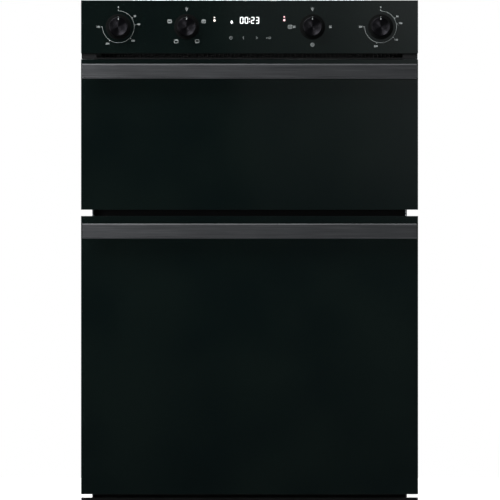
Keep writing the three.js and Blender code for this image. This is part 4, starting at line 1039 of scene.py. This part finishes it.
# The card stands behind the camera and isn't seen by it: dim green-grey at the left, then, past a slightly
# slanted edge, a neutral grey that grows towards the upper right.
def makeCard():
    look = {"y": -8.5, "edge": 0.0176, "slant": -0.13, "height": 0.447}
    corners = [(-3.5, -2.5), (3.5, -2.5), (3.5, 3.5), (-3.5, 3.5)]
    bm = bmesh.new()
    bm.faces.new([bm.verts.new((x, look["y"], z)) for x, z in corners])
    material = bpy.data.materials.new("studioCard")
    material.use_nodes = True
    tree = material.node_tree
    tree.nodes.remove(tree.nodes["Principled BSDF"])
    parts = addNode(tree, "ShaderNodeSeparateXYZ", None,
                    {0: addNode(tree, "ShaderNodeTexCoord").outputs["Object"]})
    x, z = parts.outputs[0], parts.outputs[2]
    lean = addNode(tree, "ShaderNodeMath", {"operation": "MULTIPLY_ADD", 1: -look["slant"],
                                            2: -look["edge"] + look["slant"] * look["height"]}, {0: z})
    past = addNode(tree, "ShaderNodeMath", {"operation": "ADD"}, {0: x, 1: lean.outputs[0]})
    right = addNode(tree, "ShaderNodeMapRange", {"From Min": -0.006, "From Max": 0.018}, {"Value": past.outputs[0]})
    rise = addNode(tree, "ShaderNodeMapRange", {"From Min": -0.2, "From Max": 1.05}, {"Value": z})
    upward = addNode(tree, "ShaderNodeValToRGB", {"stops": [
        (0.04, 0.006), (0.56, 0.02), (0.62, 0.1), (0.84, 0.2), (0.94, 0.36), (1.0, 0.4)]}, {"Fac": rise.outputs[0]})
    span = addNode(tree, "ShaderNodeMapRange", {"From Min": -0.05, "From Max": 0.4}, {"Value": x})
    outward = addNode(tree, "ShaderNodeValToRGB", {"stops": [(0.1, 0.26), (0.59, 0.45), (0.92, 0.9), (1.0, 1.0)]},
                      {"Fac": span.outputs[0]})
    lift = addNode(tree, "ShaderNodeMath", {"operation": "MULTIPLY"},
                   {0: upward.outputs[0], 1: outward.outputs[0]})
    extra = addNode(tree, "ShaderNodeMath", {"operation": "MULTIPLY"}, {0: lift.outputs[0], 1: right.outputs[0]})
    ground = addNode(tree, "ShaderNodeValToRGB", {"stops": [(0.0, "34393a"), (0.4, "3c4b4a"), (1.0, "3e4d4c")]},
                     {"Fac": rise.outputs[0]})
    total = addNode(tree, "ShaderNodeMix", {"data_type": "RGBA", "blend_type": "ADD", 0: 1.0},
                    {6: ground.outputs[0], 7: extra.outputs[0]})
    glow = addNode(tree, "ShaderNodeEmission", None, {"Color": total.outputs[2]})
    tree.links.new(glow.outputs[0], tree.nodes["Material Output"].inputs["Surface"])
    card = fromBmesh("studioCard", bm, material)
    card.visible_camera = False
    card.visible_diffuse = False
    card.visible_shadow = False


def addSoftLight(name, place, target, size, power, tone=(1, 1, 1)):
    light = bpy.data.lights.new(name, "AREA")
    light.shape = "RECTANGLE"
    light.size, light.size_y = size
    light.energy = power
    light.color = tone
    lamp = bpy.data.objects.new(name, light)
    bpy.context.scene.collection.objects.link(lamp)
    lamp.location = place
    lamp.rotation_euler = (Vector(target) - Vector(place)).to_track_quat("-Z", "Y").to_euler()
    lamp.visible_camera = False


def makeWorld():
    look = {"room": (0.30, 0.30, 0.31, 1), "backdrop": (1, 1, 1, 1)}
    world = bpy.data.worlds.new("studio")
    bpy.context.scene.world = world
    world.use_nodes = True
    tree = world.node_tree
    room = tree.nodes["Background"]
    room.inputs["Color"].default_value = look["room"]
    backdrop = addNode(tree, "ShaderNodeBackground", {"Color": look["backdrop"], "Strength": 1.0})
    seen = addNode(tree, "ShaderNodeLightPath").outputs["Is Camera Ray"]
    either = addNode(tree, "ShaderNodeMixShader", None, {0: seen, 1: room.outputs[0], 2: backdrop.outputs[0]})
    tree.links.new(either.outputs[0], tree.nodes["World Output"].inputs["Surface"])


def makeCamera():
    look = {"distance": 24.0, "across": 882.7, "aimX": 0.8, "aimZ": 447.2, "sensor": 36.0}
    data = bpy.data.cameras.new("camera")
    data.sensor_width = look["sensor"]
    data.lens = look["sensor"] * look["distance"] / (look["across"] * mm)
    data.clip_end = 60
    camera = bpy.data.objects.new("camera", data)
    bpy.context.scene.collection.objects.link(camera)
    camera.location = (look["aimX"] * mm, panelLow.y - look["distance"], look["aimZ"] * mm)
    camera.rotation_euler = (math.pi / 2, 0, 0)
    bpy.context.scene.camera = camera


makeFloor()
makeCard()
addSoftLight("keyFromLeft", (-2.3, -2.3, 1.1), (-0.1, -0.2, 0.5), (1.3, 2.0), 70)
addSoftLight("topLight", (-1.75, -3.2, 3.4), (0, 0, 0.4), (2.6, 2.4), 270)
addSoftLight("fillFromRight", (3.8, -1.5, 1.8), (0, 0, 0.5), (1.4, 2.4), 70)
addSoftLight("backLight", (0.0, 4.4, 2.8), (0, 0, 0.5), (0.5, 2.4), 170)
makeWorld()
makeCamera()
bpy.context.scene.view_settings.view_transform = "Standard"
print("studio ready")
